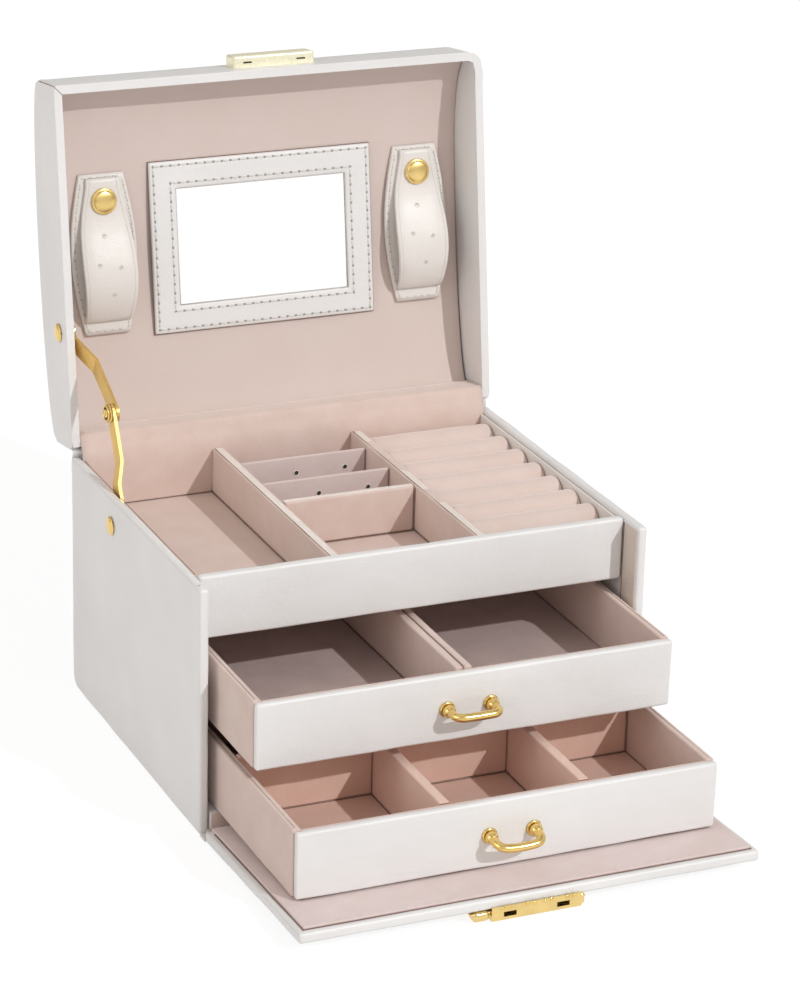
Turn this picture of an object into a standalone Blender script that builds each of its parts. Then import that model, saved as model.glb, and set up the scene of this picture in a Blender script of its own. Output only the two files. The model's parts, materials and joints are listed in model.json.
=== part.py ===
"""A tiered jewelry box, open as it is shown for sale: the domed lid stands open on its stay, the front
flap lies down and both drawers are pulled out. Lengths are in metres, +Z is up, the front faces -Y and
the origin is the middle of the base's underside.
"""

import math

import bmesh
import bpy
from mathutils import Matrix, Vector

# Gaps and roundings that every piece shares
FIT_GAP = 0.0003
CUT_OVERRUN = 0.001
LEATHER_ROUND = 0.0009
BOARD_ROUND = 0.0005
METAL_ROUND = 0.0003
BEVEL_STEPS = 2
SHARP_ANGLE = math.radians(40)
ROUND_STEPS = 24
ARC_STEPS = 8
LONG_ARC_STEPS = 16
LID_ARC_STEPS = 24
SMALL_ARC_STEPS = 5
MERGE_DISTANCE = 0.00001

# The carcass
BOX_WIDTH = 0.175
BOX_DEPTH = 0.141
BOX_HEIGHT = 0.095
SIDE_THICKNESS = 0.0038
BACK_THICKNESS = 0.0037
BASE_THICKNESS = 0.0085
SHELF_UNDERSIDE = 0.0364
SHELF_THICKNESS = 0.0036
SHELF_SETBACK = 0.020
SPINE_THICKNESS = 0.0005
SPINE_HEIGHT = 0.035
SPINE_INSET = 0.0025

# The tray under the lid
FRONT_SETBACK = 0.0114
TRAY_FRONT_THICKNESS = 0.0040
TRAY_FRONT_HEIGHT = 0.0242
TRAY_FLOOR_UNDERSIDE = 0.0715
TRAY_FLOOR_THICKNESS = 0.0035
TRAY_BACK_LINING = 0.0008
TRAY_SIDE_LINING = 0.0011
DIVIDER_THICKNESS = 0.0048
DIVIDER_HEIGHT = 0.0181
LEFT_BAY_WIDTH = 0.0518
MIDDLE_BAY_WIDTH = 0.0530
CROSS_DIVIDER_THICKNESS = 0.0040
FRONT_WELL_DEPTH = 0.0565
EARRING_PANEL_THICKNESS = 0.0015
EARRING_PANEL_HEIGHT = 0.0164
EARRING_BAY_DEPTH = 0.0206
EARRING_PANEL_SPACING = 0.0230
EARRING_HOLE_WIDTH = 0.0018
EARRING_HOLE_HEIGHT = 0.0100
EARRING_HOLE_SPACING = 0.0203
EARRING_HOLE_SHIFT = 0.0026
EARRING_HOLES = 3

# The ring rolls
ROLL_COUNT = 7
ROLL_PITCH = 0.01545
ROLL_HEIGHT = 0.0172
ROLL_CROWN = 0.0085
ROLL_END_ROUND = 0.0010
ROLL_REAR_SPACE = 0.0013

# The lid, with s running from its hinge side to its front and h from its rim outwards
LID_OPEN_ANGLE = math.radians(97.6)
LID_LENGTH = 0.138
LID_OVERHANG = 0.0007
LID_AXIS_BEHIND = 0.0010
LID_AXIS_ABOVE = 0.0035
LID_WALL_HEIGHT = 0.0205
LID_CROWN = 0.0089
LID_WALL = 0.0034
LID_SIDE_WALL = 0.0032
CEILING_HEIGHT = 0.0128
CEILING_CROWN = 0.0070

# The mirror
MIRROR_SIDE_SPACE = 0.04175
MIRROR_FRAME_LENGTH = 0.0668
MIRROR_FRAME_THICKNESS = 0.0015
MIRROR_FRAME_START = 0.0365
MIRROR_SIDE_BORDER = 0.0106
MIRROR_END_BORDER = 0.0107
MIRROR_HINGE_BORDER = 0.0105
MIRROR_LIP = 0.0006
MIRROR_REBATE = 0.0012

# The straps on the lid's lining
STRAP_SIDE_SPACE = 0.0225
STRAP_BACKING_START = 0.0390
STRAP_BACKING_LENGTH = 0.0620
STRAP_BACKING_END_WIDTH = 0.0180
STRAP_BACKING_WIDTH = 0.0265
STRAP_BACKING_THICKNESS = 0.0014
STRAP_FOLD_START = 0.0455
STRAP_LENGTH = 0.0540
STRAP_END_WIDTH = 0.0134
STRAP_WIDTH = 0.0205
STRAP_FOLD_WIDTH = 0.0165
STRAP_THICKNESS = 0.0014
STRAP_BULGE = 0.0056
STRAP_BOW_SHARE = 0.71
SNAP_PLACE = 0.0445
SNAP_RADIUS = 0.0053
SNAP_HEIGHT = 0.0022
SNAP_RIM = 0.0007

# Where the arc of a small dome starts, in degrees from its rim, which leaves a flat spot on its top
DOME_START = 75

# The lid's latch
LATCH_WIDTH = 0.0318
LATCH_SHIFT = 0.0036
LATCH_LOW = 0.0095
LATCH_HEIGHT = 0.0095
LATCH_PROUD = 0.0058
LATCH_ROUND = 0.0009
PRONG_SPACING = 0.0210
PRONG_WIDTH = 0.0052
PRONG_THICKNESS = 0.0015
PRONG_LENGTH = 0.0012

# The stay on the left, with its places measured from the body's back top edge and the lid's hinge side
BODY_RIVET_FROM_BACK = 0.0468
BODY_RIVET_BELOW_TOP = 0.0109
LID_RIVET_ALONG = 0.0432
LID_RIVET_UP = 0.0090
ELBOW_BEHIND_RIVET = 0.0194
ELBOW_ABOVE_RIVET = 0.0371
LINK_WIDTH = 0.0070
LINK_THICKNESS = 0.0012
RIVET_SHANK_RADIUS = 0.0015
RIVET_HOLE_RADIUS = 0.0018
RIVET_HEAD_RADIUS = 0.0036
RIVET_HEAD_HEIGHT = 0.0011
RIVET_TAIL_RADIUS = 0.0026
RIVET_TAIL_HEIGHT = 0.0008
LOWER_LINK_JOG = 0.0024
LOWER_JOG_START_SHARE = 0.35
LOWER_JOG_END_SHARE = 0.55
UPPER_JOG_START_SHARE = 0.16
UPPER_JOG_END_SHARE = 0.44

# The front flap, lying on its lock, with d running from its hinge to its free edge
FLAP_AXIS_AHEAD = 0.0058
FLAP_AXIS_HEIGHT = 0.0003
FLAP_LENGTH = 0.090
FLAP_BOARD = 0.0042
FLAP_LINING = 0.0007
FLAP_LINING_INSET = 0.0026
HINGE_STRIP_THICKNESS = 0.0012
HINGE_STRIP_CLEARANCE = 0.0004

# The lock under the flap
LOCK_WIDTH = 0.0340
LOCK_DEPTH = 0.0098
LOCK_PROUD = 0.0038
LOCK_LIP_THICKNESS = 0.0007
LOCK_LIP_UP = 0.0011
LOCK_WALL = 0.0008
LOCK_PLATE_THICKNESS = 0.0009
LOCK_PLATE_LEFT = 0.0246
LOCK_PLATE_RIGHT = 0.0190
LOCK_SLOT_SPACING = 0.0202
LOCK_SLOT_WIDTH = 0.0048
LOCK_SLOT_HEIGHT = 0.0018
LOCK_SLOT_DOWN = 0.0018
LOCK_BOLT_WIDTH = 0.0120
LOCK_BOLT_DEPTH = 0.0034
LOCK_BOLT_THICKNESS = 0.0008
KEY_RADIUS = 0.0026
KEY_THICKNESS = 0.0009
KEYHOLE_WIDTH = 0.0006
KEYHOLE_LENGTH = 0.0030

# The drawers
DRAWER_SIDE_GAP = 0.0032
DRAWER_HEIGHT = 0.0256
DRAWER_LENGTH = 0.125
DRAWER_FRONT = 0.0047
DRAWER_WALL = 0.0033
UPPER_PULL = 0.0481
LOWER_PULL = 0.0861
UPPER_FLOOR = 0.0027
LOWER_FLOOR = 0.0020
UPPER_DIVIDER = 0.0032
LOWER_DIVIDER = 0.0041
LOWER_MIDDLE_WIDTH = 0.0493
LOWER_MIDDLE_SHIFT = 0.0032
LOWER_CROSS_DIVIDER = 0.0033
LOWER_FRONT_BAY = 0.0590

# The drawers' handles
FOOT_SPACING = 0.0170
FOOT_RADIUS = 0.0026
FOOT_NECK = 0.0019
FOOT_NECK_SHARE = 0.25
FOOT_BALL_END = -40
FOOT_LENGTH = 0.0046
HANDLE_BAR_RADIUS = 0.0017
HANDLE_BAR_STEPS = 2
HANDLE_REACH = 0.0088
HANDLE_DROOP = math.radians(17)
HANDLE_CORNER = 0.0034
HANDLE_BELOW_MIDDLE = 0.0002

LEATHER = ((0.71, 0.70, 0.68), 0.42, 0.0)
VELVET = ((0.66, 0.50, 0.45), 0.95, 0.0)
GOLD = ((0.72, 0.47, 0.13), 0.22, 1.0)
MIRROR = ((0.95, 0.95, 0.95), 0.02, 1.0)

# Places that follow from the sizes
RIGHT = BOX_WIDTH / 2
LEFT = -RIGHT
BACK = BOX_DEPTH / 2
FRONT = -BACK
INNER = RIGHT - SIDE_THICKNESS
TRAY_FLOOR = TRAY_FLOOR_UNDERSIDE + TRAY_FLOOR_THICKNESS + FIT_GAP
TRAY_START = FRONT + FRONT_SETBACK + TRAY_FRONT_THICKNESS
TRAY_END = BACK - BACK_THICKNESS - FIT_GAP - TRAY_BACK_LINING
DRAWER_HALF = INNER - DRAWER_SIDE_GAP
LOWER_DRAWER_BASE = BASE_THICKNESS + FIT_GAP
UPPER_DRAWER_BASE = SHELF_UNDERSIDE + SHELF_THICKNESS + FIT_GAP
LID_BACK = LID_OVERHANG - LID_AXIS_BEHIND
LID_RIM = FIT_GAP - LID_AXIS_ABOVE
LOCK_REAR = FLAP_LENGTH + LOCK_LIP_THICKNESS + FIT_GAP - LOCK_DEPTH
FLAP_TILT = math.asin((LOCK_PROUD - FLAP_AXIS_HEIGHT) / LOCK_REAR)

parts = None
cutters = None


def clear_scene():
    """Remove whatever the scene holds and make the two collections."""
    global parts, cutters
    for item in list(bpy.data.objects):
        bpy.data.objects.remove(item, do_unlink=True)
    parts = bpy.data.collections.new("tiered_jewelry_box")
    cutters = bpy.data.collections.new("cutters")
    bpy.context.scene.collection.children.link(parts)
    bpy.context.scene.collection.children.link(cutters)


def dress(part, finish):
    """Give the part its own material."""
    colour, roughness, metallic = finish
    material = bpy.data.materials.new(part.name)
    material.use_nodes = True
    shader = material.node_tree.nodes["Principled BSDF"]
    shader.inputs["Base Color"].default_value = (*colour, 1.0)
    shader.inputs["Roughness"].default_value = roughness
    shader.inputs["Metallic"].default_value = metallic
    material.diffuse_color = (*colour, 1.0)
    part.data.materials.append(material)


def place(name, mesh, parent=None, finish=None):
    """Put a mesh in the scene as a part, or as a cutter when it has no finish."""
    piece = bpy.data.objects.new(name, mesh)
    piece.parent = parent
    if finish is None:
        cutters.objects.link(piece)
        piece.hide_render = True
        piece.display_type = "WIRE"
    else:
        parts.objects.link(piece)
        dress(piece, finish)
    return piece


def pivot(name, location, tilt=0.0, parent=None):
    """An empty on a moving piece's axis, turned about X."""
    empty = bpy.data.objects.new(name, None)
    empty.location = location
    empty.rotation_euler = (tilt, 0.0, 0.0)
    empty.empty_display_size = FIT_GAP
    empty.parent = parent
    parts.objects.link(empty)
    return empty


def round_edges(part, width):
    bevel = part.modifiers.new("rounded edges", "BEVEL")
    bevel.width = width
    bevel.segments = BEVEL_STEPS
    bevel.limit_method = "ANGLE"
    part.data.shade_smooth()
    part.data.set_sharp_from_angle(angle=SHARP_ANGLE)


def box(name, low, high, finish=None, parent=None, rounding=None):
    """A block between two corners, given in its parent's frame."""
    low, high = Vector(low), Vector(high)
    shape = bmesh.new()
    bmesh.ops.create_cube(shape, size=1.0)
    bmesh.ops.scale(shape, vec=high - low, verts=shape.verts)
    mesh = bpy.data.meshes.new(name)
    shape.to_mesh(mesh)
    shape.free()
    piece = place(name, mesh, parent, finish)
    piece.location = (low + high) / 2
    if rounding:
        round_edges(piece, rounding)
    return piece


def cylinder(name, radius, low, high, centre, axis, finish=None, parent=None):
    """A cylinder along the X, Y or Z axis between two places on that axis."""
    shape = bmesh.new()
    bmesh.ops.create_cone(
        shape, cap_ends=True, segments=ROUND_STEPS, radius1=radius, radius2=radius, depth=high - low
    )
    mesh = bpy.data.meshes.new(name)
    shape.to_mesh(mesh)
    shape.free()
    piece = place(name, mesh, parent, finish)
    turn = {"X": (0.0, math.pi / 2, 0.0), "Y": (math.pi / 2, 0.0, 0.0), "Z": (0.0, 0.0, 0.0)}
    piece.rotation_euler = turn[axis]
    middle = (low + high) / 2
    piece.location = {
        "X": (middle, centre[0], centre[1]),
        "Y": (centre[0], middle, centre[1]),
        "Z": (centre[0], centre[1], middle),
    }[axis]
    return piece


def turned(name, profile, location, rotation, finish, parent=None):
    """A turned piece: the profile of (radius, height) runs from the top down its outer side."""
    mesh = bpy.data.meshes.new(name)
    edges = [(i, i + 1) for i in range(len(profile) - 1)]
    mesh.from_pydata([(radius, 0.0, height) for radius, height in profile], edges, [])
    piece = place(name, mesh, parent, finish)
    screw = piece.modifiers.new("turned", "SCREW")
    screw.steps = ROUND_STEPS
    screw.render_steps = ROUND_STEPS
    screw.use_merge_vertices = True
    screw.merge_threshold = MERGE_DISTANCE
    screw.use_smooth_shade = True
    piece.location = location
    piece.rotation_euler = rotation
    return piece


def mesh_of(curve_object, name):
    """The mesh of a curve, with its loose caps welded to its sides."""
    bpy.context.scene.collection.objects.link(curve_object)
    bpy.context.view_layer.update()
    graph = bpy.context.evaluated_depsgraph_get()
    mesh = bpy.data.meshes.new_from_object(curve_object.evaluated_get(graph))
    mesh.name = name
    shape = bmesh.new()
    shape.from_mesh(mesh)
    bmesh.ops.remove_doubles(shape, verts=shape.verts, dist=MERGE_DISTANCE)
    bmesh.ops.recalc_face_normals(shape, faces=shape.faces)
    shape.to_mesh(mesh)
    shape.free()
    mesh.materials.clear()
    bpy.data.objects.remove(curve_object, do_unlink=True)
    return mesh


def prism(name, outline, low, high, finish=None, parent=None, along="X"):
    """A flat outline drawn out along an axis. Along X it is drawn in (y, z), and along Z in (x, y)."""
    curve = bpy.data.curves.new(name, "CURVE")
    curve.dimensions = "2D"
    curve.fill_mode = "BOTH"
    curve.extrude = (high - low) / 2
    spline = curve.splines.new("POLY")
    spline.points.add(len(outline) - 1)
    for point, (across, up) in zip(spline.points, outline):
        point.co = (across, up, 0.0, 1.0)
    spline.use_cyclic_u = True
    mesh = mesh_of(bpy.data.objects.new(name, curve), name)
    if along == "X":
        mesh.transform(Matrix(((0, 0, 1, 0), (1, 0, 0, 0), (0, 1, 0, 0), (0, 0, 0, 1))))
    piece = place(name, mesh, parent, finish)
    middle = (low + high) / 2
    piece.location = (middle, 0.0, 0.0) if along == "X" else (0.0, 0.0, middle)
    return piece


def combine(part, cutter, operation="DIFFERENCE"):
    """Cut the part with a hidden piece, join it to one, or keep only what both share."""
    modifier = part.modifiers.new(cutter.name, "BOOLEAN")
    modifier.object = cutter
    modifier.operation = operation
    modifier.solver = "EXACT"


def arc(centre, radii, start, end, steps=ARC_STEPS):
    """Points along an ellipse's arc, with the angles in degrees."""
    angles = [math.radians(start + (end - start) * i / steps) for i in range(steps + 1)]
    return [(centre[0] + radii[0] * math.cos(a), centre[1] + radii[1] * math.sin(a)) for a in angles]


def build_carcass():
    for name, side in (("left_side_panel", -1), ("right_side_panel", 1)):
        inner, outer = sorted((side * INNER, side * RIGHT))
        box(name, (inner, FRONT, 0.0), (outer, BACK, BOX_HEIGHT), LEATHER, rounding=LEATHER_ROUND)
    width = INNER - FIT_GAP
    back_face = BACK - BACK_THICKNESS
    box("back_panel", (-width, back_face, 0.0), (width, BACK, BOX_HEIGHT), LEATHER, rounding=BOARD_ROUND)
    base_back = back_face - FIT_GAP
    box("base_board", (-width, FRONT, 0.0), (width, base_back, BASE_THICKNESS), LEATHER, rounding=BOARD_ROUND)
    box(
        "drawer_shelf",
        (-width, FRONT + SHELF_SETBACK, SHELF_UNDERSIDE),
        (width, base_back, SHELF_UNDERSIDE + SHELF_THICKNESS),
        VELVET,
    )
    box(
        "back_hinge_strip",
        (LEFT + SPINE_INSET, BACK + FIT_GAP, BOX_HEIGHT - SPINE_HEIGHT),
        (RIGHT - SPINE_INSET, BACK + FIT_GAP + SPINE_THICKNESS, BOX_HEIGHT - FIT_GAP),
        LEATHER,
    )
    strip_front = FRONT - FLAP_AXIS_AHEAD + HINGE_STRIP_CLEARANCE
    box(
        "flap_hinge_strip",
        (LEFT, strip_front, 0.0),
        (RIGHT, FRONT - FIT_GAP, HINGE_STRIP_THICKNESS),
        LEATHER,
    )


def build_tray():
    """The fixed tray at the top: its front, its floor, its linings and what divides it."""
    width = INNER - FIT_GAP
    front_face = FRONT + FRONT_SETBACK
    low = BOX_HEIGHT - TRAY_FRONT_HEIGHT
    box(
        "tray_front_panel",
        (-width, front_face, low),
        (width, TRAY_START, BOX_HEIGHT),
        LEATHER,
        rounding=LEATHER_ROUND,
    )
    start = TRAY_START + FIT_GAP
    floor_back = BACK - BACK_THICKNESS - FIT_GAP
    box(
        "tray_floor",
        (-width, start, TRAY_FLOOR_UNDERSIDE),
        (width, floor_back, TRAY_FLOOR_UNDERSIDE + TRAY_FLOOR_THICKNESS),
        VELVET,
    )
    top = BOX_HEIGHT - FIT_GAP
    box("tray_back_lining", (-width, TRAY_END, TRAY_FLOOR), (width, TRAY_END + TRAY_BACK_LINING, top), VELVET)
    end = TRAY_END - FIT_GAP
    divider_top = TRAY_FLOOR + DIVIDER_HEIGHT
    right_lining = width - TRAY_SIDE_LINING
    box("tray_right_lining", (right_lining, start, TRAY_FLOOR), (width, end, divider_top), VELVET)

    left_divider = -INNER + LEFT_BAY_WIDTH
    left_inner = left_divider + DIVIDER_THICKNESS
    right_divider = left_inner + MIDDLE_BAY_WIDTH
    right_inner = right_divider + DIVIDER_THICKNESS
    for name, left, right in (
        ("tray_divider_left", left_divider, left_inner),
        ("tray_divider_right", right_divider, right_inner),
    ):
        box(name, (left, start, TRAY_FLOOR), (right, end, divider_top), VELVET, rounding=BOARD_ROUND)

    bay = (left_inner + FIT_GAP, right_divider - FIT_GAP)
    cross = TRAY_START + FRONT_WELL_DEPTH
    cross_back = cross + CROSS_DIVIDER_THICKNESS
    box(
        "tray_cross_divider",
        (bay[0], cross, TRAY_FLOOR),
        (bay[1], cross_back, divider_top),
        VELVET,
        rounding=BOARD_ROUND,
    )
    build_earring_panels(bay, cross_back + EARRING_BAY_DEPTH)
    build_ring_rolls(right_inner + FIT_GAP, right_lining - FIT_GAP)


def build_earring_panels(bay, first):
    """Two thin upright boards with small holes for earring posts."""
    middle = (bay[0] + bay[1]) / 2
    for i, name in enumerate(("earring_panel_front", "earring_panel_rear")):
        face = first + i * EARRING_PANEL_SPACING
        panel = box(
            name,
            (bay[0], face, TRAY_FLOOR),
            (bay[1], face + EARRING_PANEL_THICKNESS, TRAY_FLOOR + EARRING_PANEL_HEIGHT),
            VELVET,
        )
        for k in range(EARRING_HOLES):
            across = middle - EARRING_HOLE_SHIFT + (k - (EARRING_HOLES - 1) / 2) * EARRING_HOLE_SPACING
            hole = cylinder(
                f"{name}_hole_{k + 1}",
                EARRING_HOLE_WIDTH / 2,
                face - CUT_OVERRUN,
                face + EARRING_PANEL_THICKNESS + CUT_OVERRUN,
                (across, TRAY_FLOOR + EARRING_HOLE_HEIGHT),
                "Y",
            )
            combine(panel, hole)


def build_ring_rolls(left, right):
    """Upright-sided foam rolls with domed tops, pressed side by side."""
    half = (ROLL_PITCH - FIT_GAP) / 2
    shoulder = TRAY_FLOOR + ROLL_HEIGHT - ROLL_CROWN
    for k in range(ROLL_COUNT):
        middle = TRAY_END - ROLL_REAR_SPACE - (k + 0.5) * ROLL_PITCH
        outline = [(middle - half, TRAY_FLOOR), (middle + half, TRAY_FLOOR)]
        outline += arc((middle, shoulder), (half, ROLL_CROWN), 0, 180, LONG_ARC_STEPS)
        roll = prism(f"ring_roll_{k + 1}", outline, left, right, VELVET)
        round_edges(roll, ROLL_END_ROUND)


def lid_outline(wall_gap, wall_height, crown, foot):
    """The lid's side outline in its hinge's frame, closed: straight walls under a low half ellipse."""
    near = LID_BACK - wall_gap
    far = LID_BACK - LID_LENGTH + wall_gap
    middle = (near + far) / 2
    radii = ((near - far) / 2, crown)
    points = [(far, LID_RIM + foot), (near, LID_RIM + foot)]
    points += arc((middle, LID_RIM + wall_height), radii, 0, 180, LID_ARC_STEPS)
    return points


def build_lid():
    """The lid on its hinge axis, with everything that is fixed inside it."""
    hinge = pivot(
        "lid_hinge_axis",
        (0.0, BACK + LID_AXIS_BEHIND, BOX_HEIGHT + LID_AXIS_ABOVE),
        -LID_OPEN_ANGLE,
    )
    outer = lid_outline(0.0, LID_WALL_HEIGHT, LID_CROWN, 0.0)
    shell_half = RIGHT - LID_SIDE_WALL - FIT_GAP
    shell = prism("lid_shell", outer, -shell_half, shell_half, LEATHER, hinge)
    inner = lid_outline(LID_WALL, LID_WALL_HEIGHT, LID_CROWN - LID_WALL, -CUT_OVERRUN)
    hollow = prism("lid_hollow", inner, -RIGHT, RIGHT, None, hinge)
    combine(shell, hollow)
    for name, side in (("lid_left_side", -1), ("lid_right_side", 1)):
        low, high = sorted((side * (RIGHT - LID_SIDE_WALL), side * RIGHT))
        panel = prism(name, outer, low, high, LEATHER, hinge)
        round_edges(panel, BOARD_ROUND)
        if side < 0:
            cut_rivet_hole(panel, low, high, lid_rivet_place(), hinge)

    fill_gap = LID_WALL + FIT_GAP
    fill_crown = LID_CROWN - LID_WALL - FIT_GAP
    lining = prism(
        "lid_lining",
        lid_outline(fill_gap, LID_WALL_HEIGHT, fill_crown, CEILING_HEIGHT),
        -shell_half + FIT_GAP,
        shell_half - FIT_GAP,
        VELVET,
        hinge,
    )
    ceiling = lid_outline(fill_gap, CEILING_HEIGHT, CEILING_CROWN, -CUT_OVERRUN)
    combine(lining, prism("ceiling_hollow", ceiling, -RIGHT, RIGHT, None, hinge))
    build_mirror(hinge)
    build_latch(hinge)
    for name, side in (("left", -1), ("right", 1)):
        build_strap(name, side * (RIGHT - STRAP_SIDE_SPACE), hinge)
    return hinge


def ceiling_at(along):
    """The height of the lid's lining above the rim at a distance from the hinge side."""
    half = LID_LENGTH / 2 - LID_WALL - FIT_GAP
    share = (along - LID_LENGTH / 2) / half
    return CEILING_HEIGHT + CEILING_CROWN * math.sqrt(1 - share * share)


def seat_between(start, end):
    """The height at which a flat piece rests on the curved lining."""
    return min(ceiling_at(start), ceiling_at(end)) - FIT_GAP


def build_mirror(hinge):
    back = seat_between(MIRROR_FRAME_START, MIRROR_FRAME_START + MIRROR_FRAME_LENGTH)
    face = back - MIRROR_FRAME_THICKNESS
    half = RIGHT - MIRROR_SIDE_SPACE
    glass_half = half - MIRROR_SIDE_BORDER
    frame = box(
        "mirror_frame",
        (-half, LID_BACK - MIRROR_FRAME_START - MIRROR_FRAME_LENGTH, LID_RIM + face),
        (half, LID_BACK - MIRROR_FRAME_START, LID_RIM + back),
        LEATHER,
        hinge,
        BOARD_ROUND,
    )
    near = LID_BACK - MIRROR_FRAME_START - MIRROR_HINGE_BORDER
    far = LID_BACK - MIRROR_FRAME_START - MIRROR_FRAME_LENGTH + MIRROR_END_BORDER
    opening = box(
        "mirror_opening",
        (-glass_half, far, LID_RIM + face - CUT_OVERRUN),
        (glass_half, near, LID_RIM + back + CUT_OVERRUN),
        None,
        hinge,
    )
    rebate = box(
        "mirror_rebate",
        (-glass_half - MIRROR_REBATE, far - MIRROR_REBATE, LID_RIM + face + MIRROR_LIP),
        (glass_half + MIRROR_REBATE, near + MIRROR_REBATE, LID_RIM + back + CUT_OVERRUN),
        None,
        hinge,
    )
    combine(frame, opening)
    combine(frame, rebate)
    edge = MIRROR_REBATE - FIT_GAP
    box(
        "mirror_glass",
        (-glass_half - edge, far - edge, LID_RIM + face + MIRROR_LIP + FIT_GAP),
        (glass_half + edge, near + edge, LID_RIM + back),
        MIRROR,
        hinge,
    )


def build_latch(hinge):
    """The hasp on the lid's front wall, with two short prongs that point at the rim."""
    seat = LID_BACK - LID_LENGTH - FIT_GAP
    half = LATCH_WIDTH / 2
    low = LID_RIM + LATCH_LOW
    latch = box(
        "latch_bar",
        (LATCH_SHIFT - half, seat - LATCH_PROUD, low),
        (LATCH_SHIFT + half, seat, low + LATCH_HEIGHT),
        GOLD,
        hinge,
        LATCH_ROUND,
    )
    middle = seat - LATCH_PROUD / 2
    for name, side in (("left", -1), ("right", 1)):
        across = LATCH_SHIFT + side * PRONG_SPACING / 2
        prong = box(
            f"latch_{name}_prong",
            (across - PRONG_WIDTH / 2, middle - PRONG_THICKNESS / 2, low - PRONG_LENGTH),
            (across + PRONG_WIDTH / 2, middle + PRONG_THICKNESS / 2, low + CUT_OVERRUN),
            None,
            hinge,
        )
        combine(latch, prong, "UNION")


def tie_outline(start, length, end_width, wide, fold_width, centre):
    """A tie-shaped outline in the lid's (x, y): it swells from both ends to its middle."""
    right = []
    for i in range(LONG_ARC_STEPS + 1):
        share = i / LONG_ARC_STEPS
        ends = fold_width + (end_width - fold_width) * share
        width = ends + (wide - ends) * math.sin(math.pi * share)
        right.append((centre + width / 2, -start - length * share))
    left = [(2 * centre - x, y) for x, y in reversed(right)]
    return right + left


def strap_path():
    """The strap's side view from its fold: it bows away from the lining and comes back to its snap."""
    points = []
    for i in range(LONG_ARC_STEPS + 1):
        share = i / LONG_ARC_STEPS
        lift = STRAP_BULGE * math.sin(math.pi * min(1.0, share / STRAP_BOW_SHARE))
        points.append((-STRAP_LENGTH * share, -lift))
    return points


def build_strap(name, centre, hinge):
    """One leather strap on its stitched backing, closed by a snap."""
    seat = seat_between(STRAP_BACKING_START, STRAP_BACKING_START + STRAP_BACKING_LENGTH)
    face = seat - STRAP_BACKING_THICKNESS
    outline = tie_outline(
        -LID_BACK + STRAP_BACKING_START,
        STRAP_BACKING_LENGTH,
        STRAP_BACKING_END_WIDTH,
        STRAP_BACKING_WIDTH,
        STRAP_BACKING_END_WIDTH,
        centre,
    )
    prism(f"{name}_strap_backing", outline, LID_RIM + face, LID_RIM + seat, LEATHER, hinge, "Z")

    fold_height = LID_RIM + face - FIT_GAP - STRAP_THICKNESS / 2
    fold = pivot(f"{name}_strap_axis", (centre, LID_BACK - STRAP_FOLD_START, fold_height), 0.0, hinge)
    path = strap_path()
    half = STRAP_THICKNESS / 2
    outline = [(y, z - half) for y, z in path] + [(y, z + half) for y, z in reversed(path)]
    strap = prism(f"{name}_strap", outline, -STRAP_WIDTH / 2, STRAP_WIDTH / 2, LEATHER, fold)
    plan = tie_outline(
        -CUT_OVERRUN,
        STRAP_LENGTH + 2 * CUT_OVERRUN,
        STRAP_END_WIDTH,
        STRAP_WIDTH,
        STRAP_FOLD_WIDTH,
        0.0,
    )
    reach = STRAP_BULGE + STRAP_THICKNESS
    combine(strap, prism(f"{name}_strap_plan", plan, -reach, reach, None, fold, "Z"), "INTERSECT")

    profile = [(0.0, SNAP_HEIGHT)]
    profile += arc((0.0, SNAP_RIM), (SNAP_RADIUS, SNAP_HEIGHT - SNAP_RIM), DOME_START, 0, SMALL_ARC_STEPS)
    profile += [(SNAP_RADIUS, 0.0), (0.0, 0.0)]
    turned(
        f"{name}_snap_cap",
        profile,
        (0.0, -SNAP_PLACE, -half - FIT_GAP),
        (math.pi, 0.0, 0.0),
        GOLD,
        fold,
    )


def lid_rivet_place():
    return (LID_BACK - LID_RIVET_ALONG, LID_RIM + LID_RIVET_UP)


def cut_rivet_hole(panel, low, high, place_yz, parent):
    hole = cylinder(
        f"{panel.name}_rivet_hole",
        RIVET_HOLE_RADIUS,
        low - CUT_OVERRUN,
        high + CUT_OVERRUN,
        place_yz,
        "X",
        None,
        parent,
    )
    combine(panel, hole)


def rivet(name, head_face, length, place_yz, parent):
    """A rivet along X: its domed head stands outside head_face, and its tail spreads past length."""
    tail_start = -length
    profile = [(0.0, RIVET_HEAD_HEIGHT)]
    profile += arc((0.0, 0.0), (RIVET_HEAD_RADIUS, RIVET_HEAD_HEIGHT), DOME_START, 0, SMALL_ARC_STEPS)
    profile += [(RIVET_SHANK_RADIUS, 0.0), (RIVET_SHANK_RADIUS, tail_start)]
    profile += [(RIVET_TAIL_RADIUS, tail_start), (RIVET_TAIL_RADIUS, tail_start - RIVET_TAIL_HEIGHT)]
    profile += [(0.0, tail_start - RIVET_TAIL_HEIGHT)]
    turned(name, profile, (head_face, *place_yz), (0.0, -math.pi / 2, 0.0), GOLD, parent)


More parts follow.
